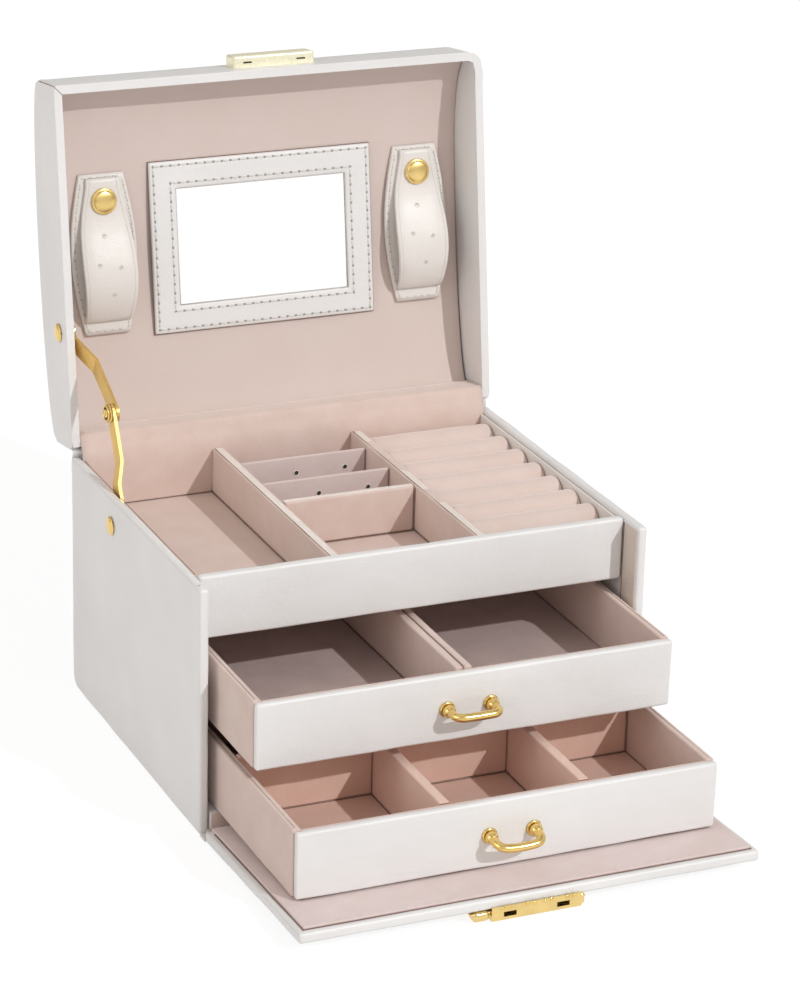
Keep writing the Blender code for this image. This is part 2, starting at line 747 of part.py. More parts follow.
def link(name, length, jog, jog_start, jog_end, base, parent):
    """A flat strip along +Y from its pivot, stepped sideways once, with round ends and two holes."""
    half = LINK_WIDTH / 2
    points = [
        (-half - CUT_OVERRUN, base),
        (length * jog_start, base),
        (length * jog_end, base + jog),
        (length + half + CUT_OVERRUN, base + jog),
    ]
    outline = points + [(y, x + LINK_THICKNESS) for y, x in reversed(points)]
    strip = prism(name, [(x, y) for y, x in outline], -half, half, GOLD, parent, "Z")
    ends = arc((length, 0.0), (half, half), -90, 90) + arc((0.0, 0.0), (half, half), 90, 270)
    reach = LINK_WIDTH + abs(jog)
    plan = prism(f"{name}_plan", ends, base - reach, base + reach, None, parent)
    combine(strip, plan, "INTERSECT")
    for tag, along in (("pivot", 0.0), ("elbow", length)):
        hole = cylinder(
            f"{name}_{tag}_hole",
            RIVET_HOLE_RADIUS,
            base - reach,
            base + reach,
            (along, 0.0),
            "X",
            None,
            parent,
        )
        combine(strip, hole)
    return strip


def build_stay(hinge):
    """Two links between the left side panel and the lid, bent at an elbow that points to the front."""
    body_rivet = (BACK - BODY_RIVET_FROM_BACK, BOX_HEIGHT - BODY_RIVET_BELOW_TOP)
    elbow = (body_rivet[0] + ELBOW_BEHIND_RIVET, body_rivet[1] + ELBOW_ABOVE_RIVET)
    local = lid_rivet_place()
    cosine, sine = math.cos(LID_OPEN_ANGLE), math.sin(LID_OPEN_ANGLE)
    lid_rivet = (
        BACK + LID_AXIS_BEHIND + local[0] * cosine + local[1] * sine,
        BOX_HEIGHT + LID_AXIS_ABOVE - local[0] * sine + local[1] * cosine,
    )
    cut_rivet_hole(bpy.data.objects["left_side_panel"], LEFT, -INNER, body_rivet, None)

    lower_base = -INNER + FIT_GAP
    lower_run = (elbow[0] - body_rivet[0], elbow[1] - body_rivet[1])
    lower = pivot("stay_lower_axis", (0.0, *body_rivet), math.atan2(lower_run[1], lower_run[0]))
    lower_length = math.hypot(*lower_run)
    link(
        "stay_lower_link",
        lower_length,
        LOWER_LINK_JOG,
        LOWER_JOG_START_SHARE,
        LOWER_JOG_END_SHARE,
        lower_base,
        lower,
    )
    upper_base = LEFT + LID_SIDE_WALL + FIT_GAP
    upper_elbow = lower_base + LOWER_LINK_JOG + LINK_THICKNESS + FIT_GAP
    upper_run = (elbow[0] - lid_rivet[0], elbow[1] - lid_rivet[1])
    upper = pivot("stay_upper_axis", (0.0, *lid_rivet), math.atan2(upper_run[1], upper_run[0]))
    link(
        "stay_upper_link",
        math.hypot(*upper_run),
        upper_elbow - upper_base,
        UPPER_JOG_START_SHARE,
        UPPER_JOG_END_SHARE,
        upper_base,
        upper,
    )
    shank = FIT_GAP + LINK_THICKNESS + 2 * FIT_GAP
    rivet("body_rivet", LEFT - FIT_GAP, SIDE_THICKNESS + shank, body_rivet, None)
    rivet("lid_rivet", LEFT - FIT_GAP, LID_SIDE_WALL + shank, local, hinge)
    elbow_face = lower_base + LOWER_LINK_JOG - FIT_GAP
    profile = [(0.0, RIVET_HEAD_HEIGHT)]
    profile += arc((0.0, 0.0), (RIVET_HEAD_RADIUS, RIVET_HEAD_HEIGHT), DOME_START, 0, SMALL_ARC_STEPS)
    profile += [(RIVET_SHANK_RADIUS, 0.0), (RIVET_SHANK_RADIUS, -LINK_THICKNESS), (0.0, -LINK_THICKNESS)]
    turned("elbow_rivet", profile, (elbow_face, lower_length, 0.0), (0.0, -math.pi / 2, 0.0), GOLD, lower)


def build_flap():
    """The front flap, lying forward with its free edge held up by the lock underneath."""
    axis = pivot("flap_hinge_axis", (0.0, FRONT - FLAP_AXIS_AHEAD, FLAP_AXIS_HEIGHT), -FLAP_TILT)
    box(
        "flap_board",
        (LEFT, -FLAP_LENGTH, 0.0),
        (RIGHT, -FIT_GAP, FLAP_BOARD),
        LEATHER,
        axis,
        LEATHER_ROUND,
    )
    lining = FLAP_BOARD + FIT_GAP
    box(
        "flap_lining",
        (LEFT + FLAP_LINING_INSET, -FLAP_LENGTH + FLAP_LINING_INSET, lining),
        (RIGHT - FLAP_LINING_INSET, -FIT_GAP, lining + FLAP_LINING),
        VELVET,
        axis,
    )
    build_lock(axis)


def build_lock(axis):
    """A flat case under the flap's free edge, with two slots in its end face and a key underneath."""
    front = -FLAP_LENGTH - FIT_GAP - LOCK_LIP_THICKNESS
    rear = front + LOCK_DEPTH
    half = LOCK_WIDTH / 2
    plate_low = -FIT_GAP - LOCK_PLATE_THICKNESS
    lip_back = front + LOCK_LIP_THICKNESS
    plate = box(
        "lock_base_plate",
        (-LOCK_PLATE_LEFT, lip_back + FIT_GAP, plate_low),
        (LOCK_PLATE_RIGHT, rear, -FIT_GAP),
        GOLD,
        axis,
    )
    round_edges(plate, METAL_ROUND)
    case_top = plate_low - FIT_GAP
    case = box("lock_case", (-half, front, -LOCK_PROUD), (half, rear, case_top), GOLD, axis)
    lip = box("lock_lip", (-half, front, -LOCK_PROUD), (half, lip_back, LOCK_LIP_UP), None, axis)
    combine(case, lip, "UNION")
    cavity_floor = -LOCK_PROUD + LOCK_WALL
    cavity = box(
        "lock_cavity",
        (-half + LOCK_WALL, lip_back + LOCK_WALL, cavity_floor),
        (half - LOCK_WALL, rear - LOCK_WALL, case_top + CUT_OVERRUN),
        None,
        axis,
    )
    combine(case, cavity)
    slot_middle = -LOCK_SLOT_DOWN
    for name, side in (("left", -1), ("right", 1)):
        across = side * LOCK_SLOT_SPACING / 2
        slot = box(
            f"lock_{name}_slot",
            (across - LOCK_SLOT_WIDTH / 2, front - CUT_OVERRUN, slot_middle - LOCK_SLOT_HEIGHT / 2),
            (
                across + LOCK_SLOT_WIDTH / 2,
                lip_back + LOCK_WALL + CUT_OVERRUN,
                slot_middle + LOCK_SLOT_HEIGHT / 2,
            ),
            None,
            axis,
        )
        combine(case, slot)
    middle = (lip_back + rear) / 2
    key_hole = cylinder(
        "key_opening",
        KEY_RADIUS + FIT_GAP,
        -LOCK_PROUD - CUT_OVERRUN,
        cavity_floor + CUT_OVERRUN,
        (0.0, middle),
        "Z",
        None,
        axis,
    )
    combine(case, key_hole)
    key_low = -LOCK_PROUD + FIT_GAP / 2
    turn = pivot("key_axis", (0.0, middle, key_low), 0.0, axis)
    key = cylinder("key_cylinder", KEY_RADIUS, 0.0, KEY_THICKNESS, (0.0, 0.0), "Z", GOLD, turn)
    keyhole = box(
        "keyhole",
        (-KEYHOLE_WIDTH / 2, -KEYHOLE_LENGTH / 2, -CUT_OVERRUN),
        (KEYHOLE_WIDTH / 2, KEYHOLE_LENGTH / 2, KEY_THICKNESS / 2),
        None,
        turn,
    )
    combine(key, keyhole)
    bolt_low = key_low + KEY_THICKNESS + FIT_GAP / 2
    box(
        "lock_bolt",
        (-LOCK_BOLT_WIDTH / 2, middle - LOCK_BOLT_DEPTH / 2, bolt_low),
        (LOCK_BOLT_WIDTH / 2, middle + LOCK_BOLT_DEPTH / 2, bolt_low + LOCK_BOLT_THICKNESS),
        GOLD,
        axis,
    )


def build_drawer(level, base, pull, floor):
    """A drawer box and its front, with y measured back from the front's face."""
    slide = pivot(f"{level}_drawer_slide", (0.0, FRONT + FRONT_SETBACK - pull, base))
    box(
        f"{level}_drawer_front",
        (-DRAWER_HALF, 0.0, 0.0),
        (DRAWER_HALF, DRAWER_FRONT, DRAWER_HEIGHT),
        LEATHER,
        slide,
        LEATHER_ROUND,
    )
    start = DRAWER_FRONT + FIT_GAP
    tray = box(
        f"{level}_drawer_tray",
        (-DRAWER_HALF, start, 0.0),
        (DRAWER_HALF, DRAWER_LENGTH, DRAWER_HEIGHT),
        VELVET,
        slide,
    )
    inner = DRAWER_HALF - DRAWER_WALL
    hollow = box(
        f"{level}_drawer_hollow",
        (-inner, start - CUT_OVERRUN, floor),
        (inner, DRAWER_LENGTH - DRAWER_WALL, DRAWER_HEIGHT + CUT_OVERRUN),
        None,
        slide,
    )
    combine(tray, hollow)
    build_handle(level, slide)
    return slide


def build_handle(level, slide):
    """A bow handle cast in one with its two ball feet: it reaches forward and droops a little."""
    half = FOOT_SPACING / 2
    corner = HANDLE_CORNER
    flat = [(half, 0.0)] + arc((half - corner, HANDLE_REACH - corner), (corner, corner), 0, 90, ARC_STEPS)
    flat += [(-x, out) for x, out in reversed(flat)]
    middle = DRAWER_HEIGHT / 2 - HANDLE_BELOW_MIDDLE
    curve = bpy.data.curves.new(f"{level}_drawer_handle", "CURVE")
    curve.dimensions = "3D"
    curve.bevel_depth = HANDLE_BAR_RADIUS
    curve.bevel_resolution = HANDLE_BAR_STEPS
    curve.use_fill_caps = True
    spline = curve.splines.new("POLY")
    spline.points.add(len(flat) - 1)
    neck = FIT_GAP + FOOT_LENGTH / 2
    for point, (across, out) in zip(spline.points, flat):
        forward = neck + out * math.cos(HANDLE_DROOP)
        point.co = (across, -forward, middle - out * math.sin(HANDLE_DROOP), 1.0)
    name = f"{level}_drawer_handle"
    handle = place(name, mesh_of(bpy.data.objects.new(name, curve), name), slide, GOLD)
    handle.data.shade_smooth()
    ball = FOOT_LENGTH - FOOT_RADIUS
    profile = [(0.0, FOOT_LENGTH)]
    profile += arc((0.0, ball), (FOOT_RADIUS, FOOT_RADIUS), DOME_START, FOOT_BALL_END)
    profile += [(FOOT_NECK, ball * FOOT_NECK_SHARE), (FOOT_NECK, 0.0), (0.0, 0.0)]
    for word, side in (("left", -1), ("right", 1)):
        foot = turned(
            f"{name}_foot_{word}",
            profile,
            (side * half, -FIT_GAP, middle),
            (math.pi / 2, 0.0, 0.0),
            None,
            slide,
        )
        combine(handle, foot, "UNION")


def build_upper_drawer():
    slide = build_drawer("upper", UPPER_DRAWER_BASE, UPPER_PULL, UPPER_FLOOR)
    start = DRAWER_FRONT + 2 * FIT_GAP
    end = DRAWER_LENGTH - DRAWER_WALL - FIT_GAP
    low = UPPER_FLOOR + FIT_GAP
    for name, side in (("left", -1), ("right", 1)):
        inner, outer = sorted((side * FIT_GAP / 2, side * (FIT_GAP / 2 + UPPER_DIVIDER)))
        box(
            f"upper_drawer_divider_{name}",
            (inner, start, low),
            (outer, end, DRAWER_HEIGHT),
            VELVET,
            slide,
        )


def build_lower_drawer():
    slide = build_drawer("lower", LOWER_DRAWER_BASE, LOWER_PULL, LOWER_FLOOR)
    start = DRAWER_FRONT + 2 * FIT_GAP
    cross = DRAWER_FRONT + LOWER_FRONT_BAY
    low = LOWER_FLOOR + FIT_GAP
    inner = DRAWER_HALF - DRAWER_WALL - FIT_GAP
    for name, side in (("left", -1), ("right", 1)):
        face = LOWER_MIDDLE_SHIFT + side * LOWER_MIDDLE_WIDTH / 2
        left, right = sorted((face, face + side * LOWER_DIVIDER))
        box(
            f"lower_drawer_divider_{name}",
            (left, start, low),
            (right, cross - FIT_GAP, DRAWER_HEIGHT),
            VELVET,
            slide,
        )
    box(
        "lower_drawer_cross_divider",
        (-inner, cross, low),
        (inner, cross + LOWER_CROSS_DIVIDER, DRAWER_HEIGHT),
        VELVET,
        slide,
    )


def main():
    clear_scene()
    build_carcass()
    build_tray()
    hinge = build_lid()
    build_stay(hinge)
    build_flap()
    build_upper_drawer()
    build_lower_drawer()


main()
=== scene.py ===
"""The looks of the tiered jewelry box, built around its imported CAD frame.

White leather over board, pink velvet, gold hardware, a mirror, stitching and the lid's fabric hinge.
Lengths are in metres in the CAD's own frame: +Z is up and the drawers open towards -Y.
"""

import json
from math import asin, copysign, cos, exp, hypot, pi, radians, sin, sqrt

import bpy
import numpy as np
from mathutils import Matrix, Vector, noise


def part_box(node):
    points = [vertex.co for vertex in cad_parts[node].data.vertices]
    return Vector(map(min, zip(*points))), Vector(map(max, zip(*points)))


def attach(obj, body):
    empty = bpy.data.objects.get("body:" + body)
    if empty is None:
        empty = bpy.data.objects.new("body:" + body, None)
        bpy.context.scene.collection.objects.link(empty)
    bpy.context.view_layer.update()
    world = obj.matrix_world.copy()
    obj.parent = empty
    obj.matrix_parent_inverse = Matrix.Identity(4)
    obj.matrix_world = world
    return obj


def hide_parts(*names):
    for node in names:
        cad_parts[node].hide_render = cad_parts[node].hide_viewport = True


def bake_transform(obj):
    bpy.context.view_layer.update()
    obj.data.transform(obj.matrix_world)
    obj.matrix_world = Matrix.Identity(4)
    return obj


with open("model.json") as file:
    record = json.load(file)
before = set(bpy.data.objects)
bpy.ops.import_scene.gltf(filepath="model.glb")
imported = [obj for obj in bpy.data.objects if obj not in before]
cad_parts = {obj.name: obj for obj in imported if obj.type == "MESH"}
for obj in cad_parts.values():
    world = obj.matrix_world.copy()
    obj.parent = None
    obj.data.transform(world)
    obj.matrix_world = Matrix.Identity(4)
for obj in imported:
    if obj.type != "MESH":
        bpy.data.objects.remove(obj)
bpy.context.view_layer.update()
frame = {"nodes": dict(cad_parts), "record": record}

# The camera, solved from the photograph
IMAGE_HEIGHT = 998
FOCAL_PIXELS = 3537.5
CAMERA_TARGET = Vector((0.0, -0.0105, 0.08))
CAMERA_AZIMUTH = radians(24.0233)
CAMERA_ELEVATION = radians(21.182)
CAMERA_ROLL = radians(1.5248)
CAMERA_ACROSS = 0.0135229
CAMERA_UP = 0.0146789
CAMERA_DISTANCE = 1.3189143

# The lid's frame: x across, -s from the hinge side towards the latch, h from the rim outwards
LID_OPEN = radians(97.6)
LID_AXIS = Vector((0.0, 0.0715, 0.0985))
LID_OFFSET = Matrix.Translation((0.0, -0.0003, -0.0032))
LID = Matrix.Translation(LID_AXIS) @ Matrix.Rotation(-LID_OPEN, 4, "X") @ LID_OFFSET
# The flap's frame: x across, -d from its hinge towards its free edge, z up from its outer face
FLAP_TILT = asin(0.0035 / 0.0812)
FLAP = Matrix.Translation((0.0, -0.0763, 0.0003)) @ Matrix.Rotation(-FLAP_TILT, 4, "X")
HALF_WIDTH = 0.0875
LID_LENGTH = 0.138
LID_WALL = 0.0034
LID_SIDE_WALL = 0.0032
LID_WALL_HEIGHT = 0.0205
CEILING_END = 0.1344
ACROSS = Vector((1.0, 0.0, 0.0))
DEEPER = Vector((0.0, 1.0, 0.0))
OUT_OF_LID = Vector((0.0, 0.0, -1.0))
# Along the lid, from the hinge: the strap's patch and the strap on it
PATCH_START = 0.039
PATCH_LENGTH = 0.062
STRAP_START = 0.0455
STRAP_LENGTH = 0.054
STRAP_THICKNESS = 0.0014
EARRING_PANELS = ("earring_panel_front", "earring_panel_rear")
EARRING_HOLES = (-0.0235, -0.0032, 0.0171)
EARRING_HOLE_HEIGHT = 0.0853

# The surround's fill light, its tint, and its greys from below to above in glossy rays
FILL = 0.56
FILL_TINT = (1.0, 0.955, 0.92, 1.0)
SKY_GREYS = ((0.0, 0.45), (0.18, 0.16), (0.34, 0.9), (0.55, 1.0), (0.72, 0.28), (1.0, 0.85))


# Nodes and materials
def add_node(tree, kind, inputs=(), **settings):
    """A new shader node. Each input is a value or another node's output."""
    node = tree.nodes.new("ShaderNode" + kind)
    for name, value in settings.items():
        setattr(node, name, value)
    for name, value in dict(inputs).items():
        if hasattr(value, "is_linked"):
            tree.links.new(value, node.inputs[name])
        else:
            node.inputs[name].default_value = value
    return node


def set_ramp(node, stops):
    """Give a colour ramp its (position, colour) stops."""
    elements = node.color_ramp.elements
    for index, (position, colour) in enumerate(stops):
        element = elements[index] if index < 2 else elements.new(position)
        element.position = position
        element.color = (*colour, 1.0)
    return node.outputs["Color"]


def add_object(name, data):
    made = bpy.data.objects.new(name, data)
    bpy.context.scene.collection.objects.link(made)
    return made


class Finish:
    """A material's node tree, with short ways to add to it."""

    def __init__(self, name, **sockets):
        self.material = bpy.data.materials.new(name)
        self.material.use_nodes = True
        self.tree = self.material.node_tree
        self.shader = self.tree.nodes["Principled BSDF"]
        self.place = add_node(self.tree, "TexCoord").outputs["Object"]
        for socket, value in sockets.items():
            self.shader.inputs[socket.replace("_", " ")].default_value = value

    def noise(self, scale, detail=2.0, roughness=0.5, place=None):
        inputs = {"Vector": place or self.place, "Scale": scale, "Detail": detail, "Roughness": roughness}
        return add_node(self.tree, "TexNoise", inputs).outputs["Fac"]

    def stretched(self, scale):
        return add_node(self.tree, "Mapping", {"Vector": self.place, "Scale": scale}).outputs["Vector"]

    def ramp(self, value, stops):
        return set_ramp(add_node(self.tree, "ValToRGB", {"Fac": value}), stops)

    def spread(self, value, low, high):
        node = add_node(self.tree, "MapRange", {"Value": value, "To Min": low, "To Max": high})
        return node.outputs["Result"]

    def bump(self, height, distance, strength=1.0, under=None):
        inputs = {"Height": height, "Distance": distance, "Strength": strength}
        if under is not None:
            inputs["Normal"] = under
        return add_node(self.tree, "Bump", inputs).outputs["Normal"]

    def finish(self, colour=None, roughness=None, normal=None):
        for name, value in (("Base Color", colour), ("Roughness", roughness), ("Normal", normal)):
            if value is not None:
                self.tree.links.new(value, self.shader.inputs[name])
        return self.material


def shade(colour, factor):
    return tuple(min(1.0, c * factor) for c in colour)


def leather(name, colour, warm):
    """Coated leather over board: a fine grain, soft waves from gluing and a satin coat."""
    look = Finish(name, IOR=1.5, Coat_Weight=0.12, Coat_Roughness=0.3)
    cloud = look.noise(22.0, 3.0)
    tone = look.ramp(cloud, ((0.3, warm), (0.7, colour)))
    grain = add_node(look.tree, "TexVoronoi", {"Vector": look.place, "Scale": 1300.0}, feature="SMOOTH_F1")
    fine = look.noise(4200.0, 2.0)
    waves = look.noise(150.0, 1.0)
    creases = look.noise(48.0, 5.0, 0.65, look.stretched((1.0, 1.0, 3.2)))
    normal = look.bump(waves, 0.0003, 0.5)
    normal = look.bump(creases, 0.0011, 0.22, normal)
    normal = look.bump(grain.outputs["Distance"], 0.00007, 0.8, normal)
    normal = look.bump(fine, 0.00002, 0.5, normal)
    return look.finish(tone, look.spread(look.noise(320.0, 3.0), 0.36, 0.52), normal)


def velvet(name, colour, dark, sheen=0.75, tint=(1.0, 0.95, 0.93), nap=90.0):
    """Short-pile velvet: a strong soft sheen, brushed patches and a fine pile."""
    look = Finish(name, Sheen_Weight=sheen, Sheen_Roughness=0.42, Sheen_Tint=(*tint, 1.0), IOR=1.35)
    look.shader.inputs["Specular IOR Level"].default_value = 0.15
    brushed = look.noise(nap, 4.0, 0.6)
    pile = look.noise(2600.0, 2.0, 0.7)
    mixed = add_node(look.tree, "Math", {0: brushed, 1: pile}, operation="ADD").outputs["Value"]
    halved = add_node(look.tree, "Math", {0: mixed, 1: 0.5}, operation="MULTIPLY").outputs["Value"]
    tone = look.ramp(halved, ((0.36, dark), (0.64, colour)))
    normal = look.bump(brushed, 0.0004, 0.2)
    normal = look.bump(pile, 0.00009, 0.6, normal)
    return look.finish(tone, look.spread(brushed, 0.85, 1.0), normal)


def metal(name, colour, low, high):
    """Plated metal: nearly smooth, with faint polishing marks."""
    look = Finish(name, Metallic=1.0)
    haze = look.noise(700.0, 4.0, 0.6)
    marks = look.noise(1.0, 2.0, 0.5, look.stretched((300.0, 2400.0, 2400.0)))
    tone = look.ramp(look.noise(160.0, 2.0), ((0.3, shade(colour, 0.86)), (0.7, colour)))
    normal = look.bump(marks, 0.00001, 0.3)
    return look.finish(tone, look.spread(haze, low, high), normal)


def plain(name, colour, roughness, metallic=0.0):
    look = Finish(name, Metallic=metallic)
    speck = look.noise(900.0, 2.0)
    tone = look.ramp(speck, ((0.3, shade(colour, 0.88)), (0.7, colour)))
    return look.finish(tone, look.spread(speck, roughness * 0.85, roughness * 1.15))


def mirror_glass():
    look = Finish("silvered_glass", Metallic=1.0, Base_Color=(0.97, 0.97, 0.97, 1.0))
    return look.finish(None, look.spread(look.noise(400.0, 2.0), 0.0, 0.015))


PEARL = leather("pearl_leather", (0.82, 0.815, 0.81), (0.765, 0.757, 0.747))
PINK = velvet("pink_velvet", (0.735, 0.6, 0.545), (0.67, 0.52, 0.46))
ROLL = velvet("roll_velvet", (0.76, 0.635, 0.585), (0.7, 0.56, 0.505), 0.8, (1.0, 0.95, 0.94), 60.0)
EARRING = velvet("earring_velvet", (0.7, 0.59, 0.57), (0.63, 0.515, 0.49), 0.75, (1.0, 0.96, 0.97), 60.0)
LINING = velvet("lid_velvet", (0.69, 0.59, 0.55), (0.665, 0.56, 0.515), 0.55, (1.0, 0.96, 0.95), 40.0)
GREY = velvet("grey_velvet", (0.62, 0.49, 0.455), (0.47, 0.36, 0.33), 0.75, (0.9, 0.89, 0.97), 60.0)
# The lower drawer's velvet: partly its own peach tone, partly painted shade, more saturated than the pink to
# stand for the warm bounced light in its shaded bays
PEACH_BOUNCE_SHADE = velvet("drawer_velvet_bounce_shade", (0.8, 0.575, 0.485), (0.73, 0.5, 0.41))
FLAP_VELVET = velvet("flap_velvet", (0.745, 0.635, 0.62), (0.68, 0.55, 0.525), 0.8, (1.0, 0.96, 0.96))
GOLD = metal("gold_plate", (0.9, 0.64, 0.23), 0.16, 0.28)
# The latch bar's gold, paled and only half metal: a painted reflection of the white surround on its face
GOLD_WITH_PAINTED_REFLECTION = plain("pale_gold_painted_reflection", (0.98, 0.94, 0.7), 0.3, 0.3)
# Painted shade: near-black sheets that stand for the deep shade inside the drawers' bay
BAY_SHADE = plain("bay_painted_shade", (0.05, 0.036, 0.029), 0.9)
# Beige leather lining, partly its own colour and partly darkened with painted shade for the shaded inner
# face
SIDE_LINING_SHADED = leather("side_lining_shaded", (0.66, 0.575, 0.515), (0.61, 0.525, 0.465))
SATIN = metal("satin_gold", (0.94, 0.69, 0.27), 0.27, 0.36)
BRASS = metal("lock_brass", (0.88, 0.66, 0.27), 0.2, 0.32)
CREAM = leather("cream_top_strip", (0.86, 0.79, 0.735), (0.8, 0.72, 0.655))
THREAD = plain("thread", (0.78, 0.755, 0.72), 0.6)
# Painted shade inside the needle holes
NEEDLE_HOLE_SHADE = plain("needle_hole_shade", (0.41, 0.39, 0.37), 0.9)
# Softer painted shade: in the patch's needle holes and the strap's punched holes, and along the mirror
# glass's edge
SOFT_SHADE = plain("soft_painted_shade", (0.62, 0.58, 0.54), 0.8)
# Painted shade: the colour of the dark lines in creases, seams and gaps between boards
CREASE_SHADE = plain("crease", (0.27, 0.17, 0.135), 0.9)
BRUSHED = metal("brushed_gold", (0.84, 0.57, 0.2), 0.44, 0.56)
# Deep painted shade inside slots, holes and grooves
DEEP_SHADE = plain("deep_painted_shade", (0.035, 0.025, 0.02), 0.8)
STRAP = leather("strap_leather", (0.8, 0.77, 0.735), (0.755, 0.715, 0.675))
MIRROR = mirror_glass()
# The CAD's own solids that stay in sight
BARE = {
    BRASS: ("lock_case", "lock_base_plate"),
    BRUSHED: ("stay_lower_link", "stay_upper_link"),
    GOLD: ("lock_bolt", "key_cylinder", "body_rivet", "lid_rivet", "elbow_rivet"),
    MIRROR: ("mirror_glass",),
}


# Shapes
def even(low, high, count):
    """Evenly spaced numbers."""
    return [float(x) for x in np.linspace(low, high, count)]


def angles(start, end, count):
    """Evenly spaced angles, from degrees."""
    return [radians(a) for a in even(start, end, count)]


def with_ends(low, high, ends, middle):
    """Places along an axis, with the same close steps at both of its ends."""
    return [low + e for e in ends] + middle + [high - e for e in reversed(ends)]


def moved(shape, matrix):
    points, faces = shape
    return [matrix @ Vector(p) for p in points], faces


def facing_front(place):
    """Turns a shape's Z axis to the front of the box and sets it on a place."""
    return Matrix.Translation(place) @ Matrix.Rotation(pi / 2, 4, "X")


def piece(name, shape, material, body, stands_for=None, matrix=None):
    """A mesh piece that rides on a body and may stand for a CAD node."""
    points, faces = shape
    mesh = bpy.data.meshes.new(name)
    mesh.from_pydata([tuple(p) for p in points], [], faces)
    mesh.validate()
    if matrix is not None:
        mesh.transform(matrix)
    mesh.shade_smooth()
    mesh.materials.append(material)
    made = add_object(name, mesh)
    if body:
        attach(made, body)
    if stands_for:
        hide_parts(stands_for)
    return made


def joined(*shapes):
    points, faces = [], []
    for more_points, more_faces in shapes:
        start = len(points)
        points += list(more_points)
        faces += [tuple(start + i for i in face) for face in more_faces]
    return points, faces


def ticks(low, high, radius, spacing):
    """Places along an axis, close together at both rounded ends."""
    ends = [radius * share for share in (0.0, 0.22, 0.5, 0.78)]
    count = max(2, round((high - low - 2 * radius) / spacing) + 1)
    return with_ends(low, high, ends, even(low + radius, high - radius, count))


def rounded_box(low, high, radius, spacing=0.008, wave=0.0, seed=0.0):
    """A block with rounded edges, gridded sides and an optional waviness."""
    axes = [ticks(low[i], high[i], radius, spacing) for i in range(3)]
    index, points, faces = {}, [], []

    def corner(i, j, k):
        if (i, j, k) not in index:
            raw = Vector((axes[0][i], axes[1][j], axes[2][k]))
            inner = Vector([min(max(raw[n], low[n] + radius), high[n] - radius) for n in range(3)])
            out = raw - inner
            direction = out.normalized() if out.length > 1e-9 else Vector()
            spot = inner + direction * radius
            if wave:
                spot += direction * (noise.noise(spot * 55.0 + Vector((seed, 0.0, 0.0))) - 0.6) * wave
            index[(i, j, k)] = len(points)
            points.append(spot)
        return index[(i, j, k)]

    last = [len(axis) - 1 for axis in axes]
    for axis in range(3):
        a, b = (axis + 1) % 3, (axis + 2) % 3
        for side in (0, last[axis]):
            for u in range(last[a]):
                for v in range(last[b]):
                    quad = []
                    for du, dv in ((0, 0), (1, 0), (1, 1), (0, 1)):
                        spot = [0, 0, 0]
                        spot[axis], spot[a], spot[b] = side, u + du, v + dv
                        quad.append(corner(*spot))
                    faces.append(tuple(quad if side else reversed(quad)))
    return points, faces


def skin(rows, flipped=False):
    """A sheet of faces over open rows of equally many points."""
    count, faces = len(rows[0]), []
    for r in range(len(rows) - 1):
        for i in range(count - 1):
            near, far = r * count + i, (r + 1) * count + i
            faces.append((near + 1, near, far, far + 1) if flipped else (near, near + 1, far + 1, far))
    return [p for row in rows for p in row], faces


def circle(steps):
    """Cosine and sine of evenly spaced angles."""
    turns = [2 * pi * i / steps for i in range(steps)]
    return [(cos(a), sin(a)) for a in turns]


def loft(rings):
    """A skin over rings of equally many points, each ring closed."""
    count = len(rings[0])
    points = [p for ring in rings for p in ring]
    faces = []
    for r in range(len(rings) - 1):
        for i in range(count):
            j = (i + 1) % count
            faces.append((r * count + i, r * count + j, (r + 1) * count + j, (r + 1) * count + i))
    faces.append(tuple(reversed(range(count))))
    faces.append(tuple((len(rings) - 1) * count + i for i in range(count)))
    return points, faces


def turned(profile, steps=40):
    """A surface of revolution about Z, from (radius, height) pairs."""
    rings = []
    for radius, height in profile:
        radius = max(radius, 1e-6)
        rings.append([(radius * u, radius * v, height) for u, v in circle(steps)])
    return loft(rings)


def tube(path, radius, steps=16, closed=False):
    """A round bar along a smooth path."""
    rings, side = [], None
    for i, spot in enumerate(path):
        before = path[i - 1] if i or closed else spot
        after = path[(i + 1) % len(path)] if i + 1 < len(path) or closed else spot
        along = (after - before).normalized()
        side = (side or along.orthogonal()).cross(along).cross(along).normalized() * -1
        up = along.cross(side)
        rings.append([spot + (side * u + up * v) * radius for u, v in circle(steps)])
    return loft(rings)


# A dash's outline: (place along it, share of its width and height)
DASH = ((-0.5, 0.05), (-0.42, 0.55), (-0.25, 0.92), (0.0, 1.0), (0.25, 0.92), (0.42, 0.55), (0.5, 0.05))


def capsules(spots, length, width, height):
    """Small thread dashes: one stretched dome for each (centre, along, outwards)."""
    shapes = []
    for centre, along, out in spots:
        across = out.cross(along)
        rings = []
        for t, share in DASH:
            wide, tall, spot = width / 2 * share, height * share, centre + along * (length * t)
            rings.append([spot + across * (wide * u) + out * (tall * v) for u, v in circle(8)])
        shapes.append(loft(rings))
    return joined(*shapes)


def sew(name, rows, pitch, closed=False, size=1.0, pierced=NEEDLE_HOLE_SHADE):
    """Thread along rows in the lid and the needle holes between, dark with painted shade, as two pieces."""
    threads, holes = [], []
    for a, b in [run for row in rows for run in runs(row, closed)]:
        count = max(1, round((b - a).length / pitch))
        along = (b - a).normalized()
        threads += [(a.lerp(b, (i + 0.5) / count), along, OUT_OF_LID) for i in range(count)]
        holes += [(a.lerp(b, i / count), along, OUT_OF_LID) for i in range(count)]
    thread = capsules(threads, pitch * 0.6, 0.0008 * size, 0.00034 * size)
    piece(f"{name}_thread", thread, THREAD, "lid", matrix=LID)
    hole = capsules(holes, 0.0013 * size, 0.0009 * size, 0.00006)
    piece(f"{name}_needle_holes", hole, pierced, "lid", matrix=LID)


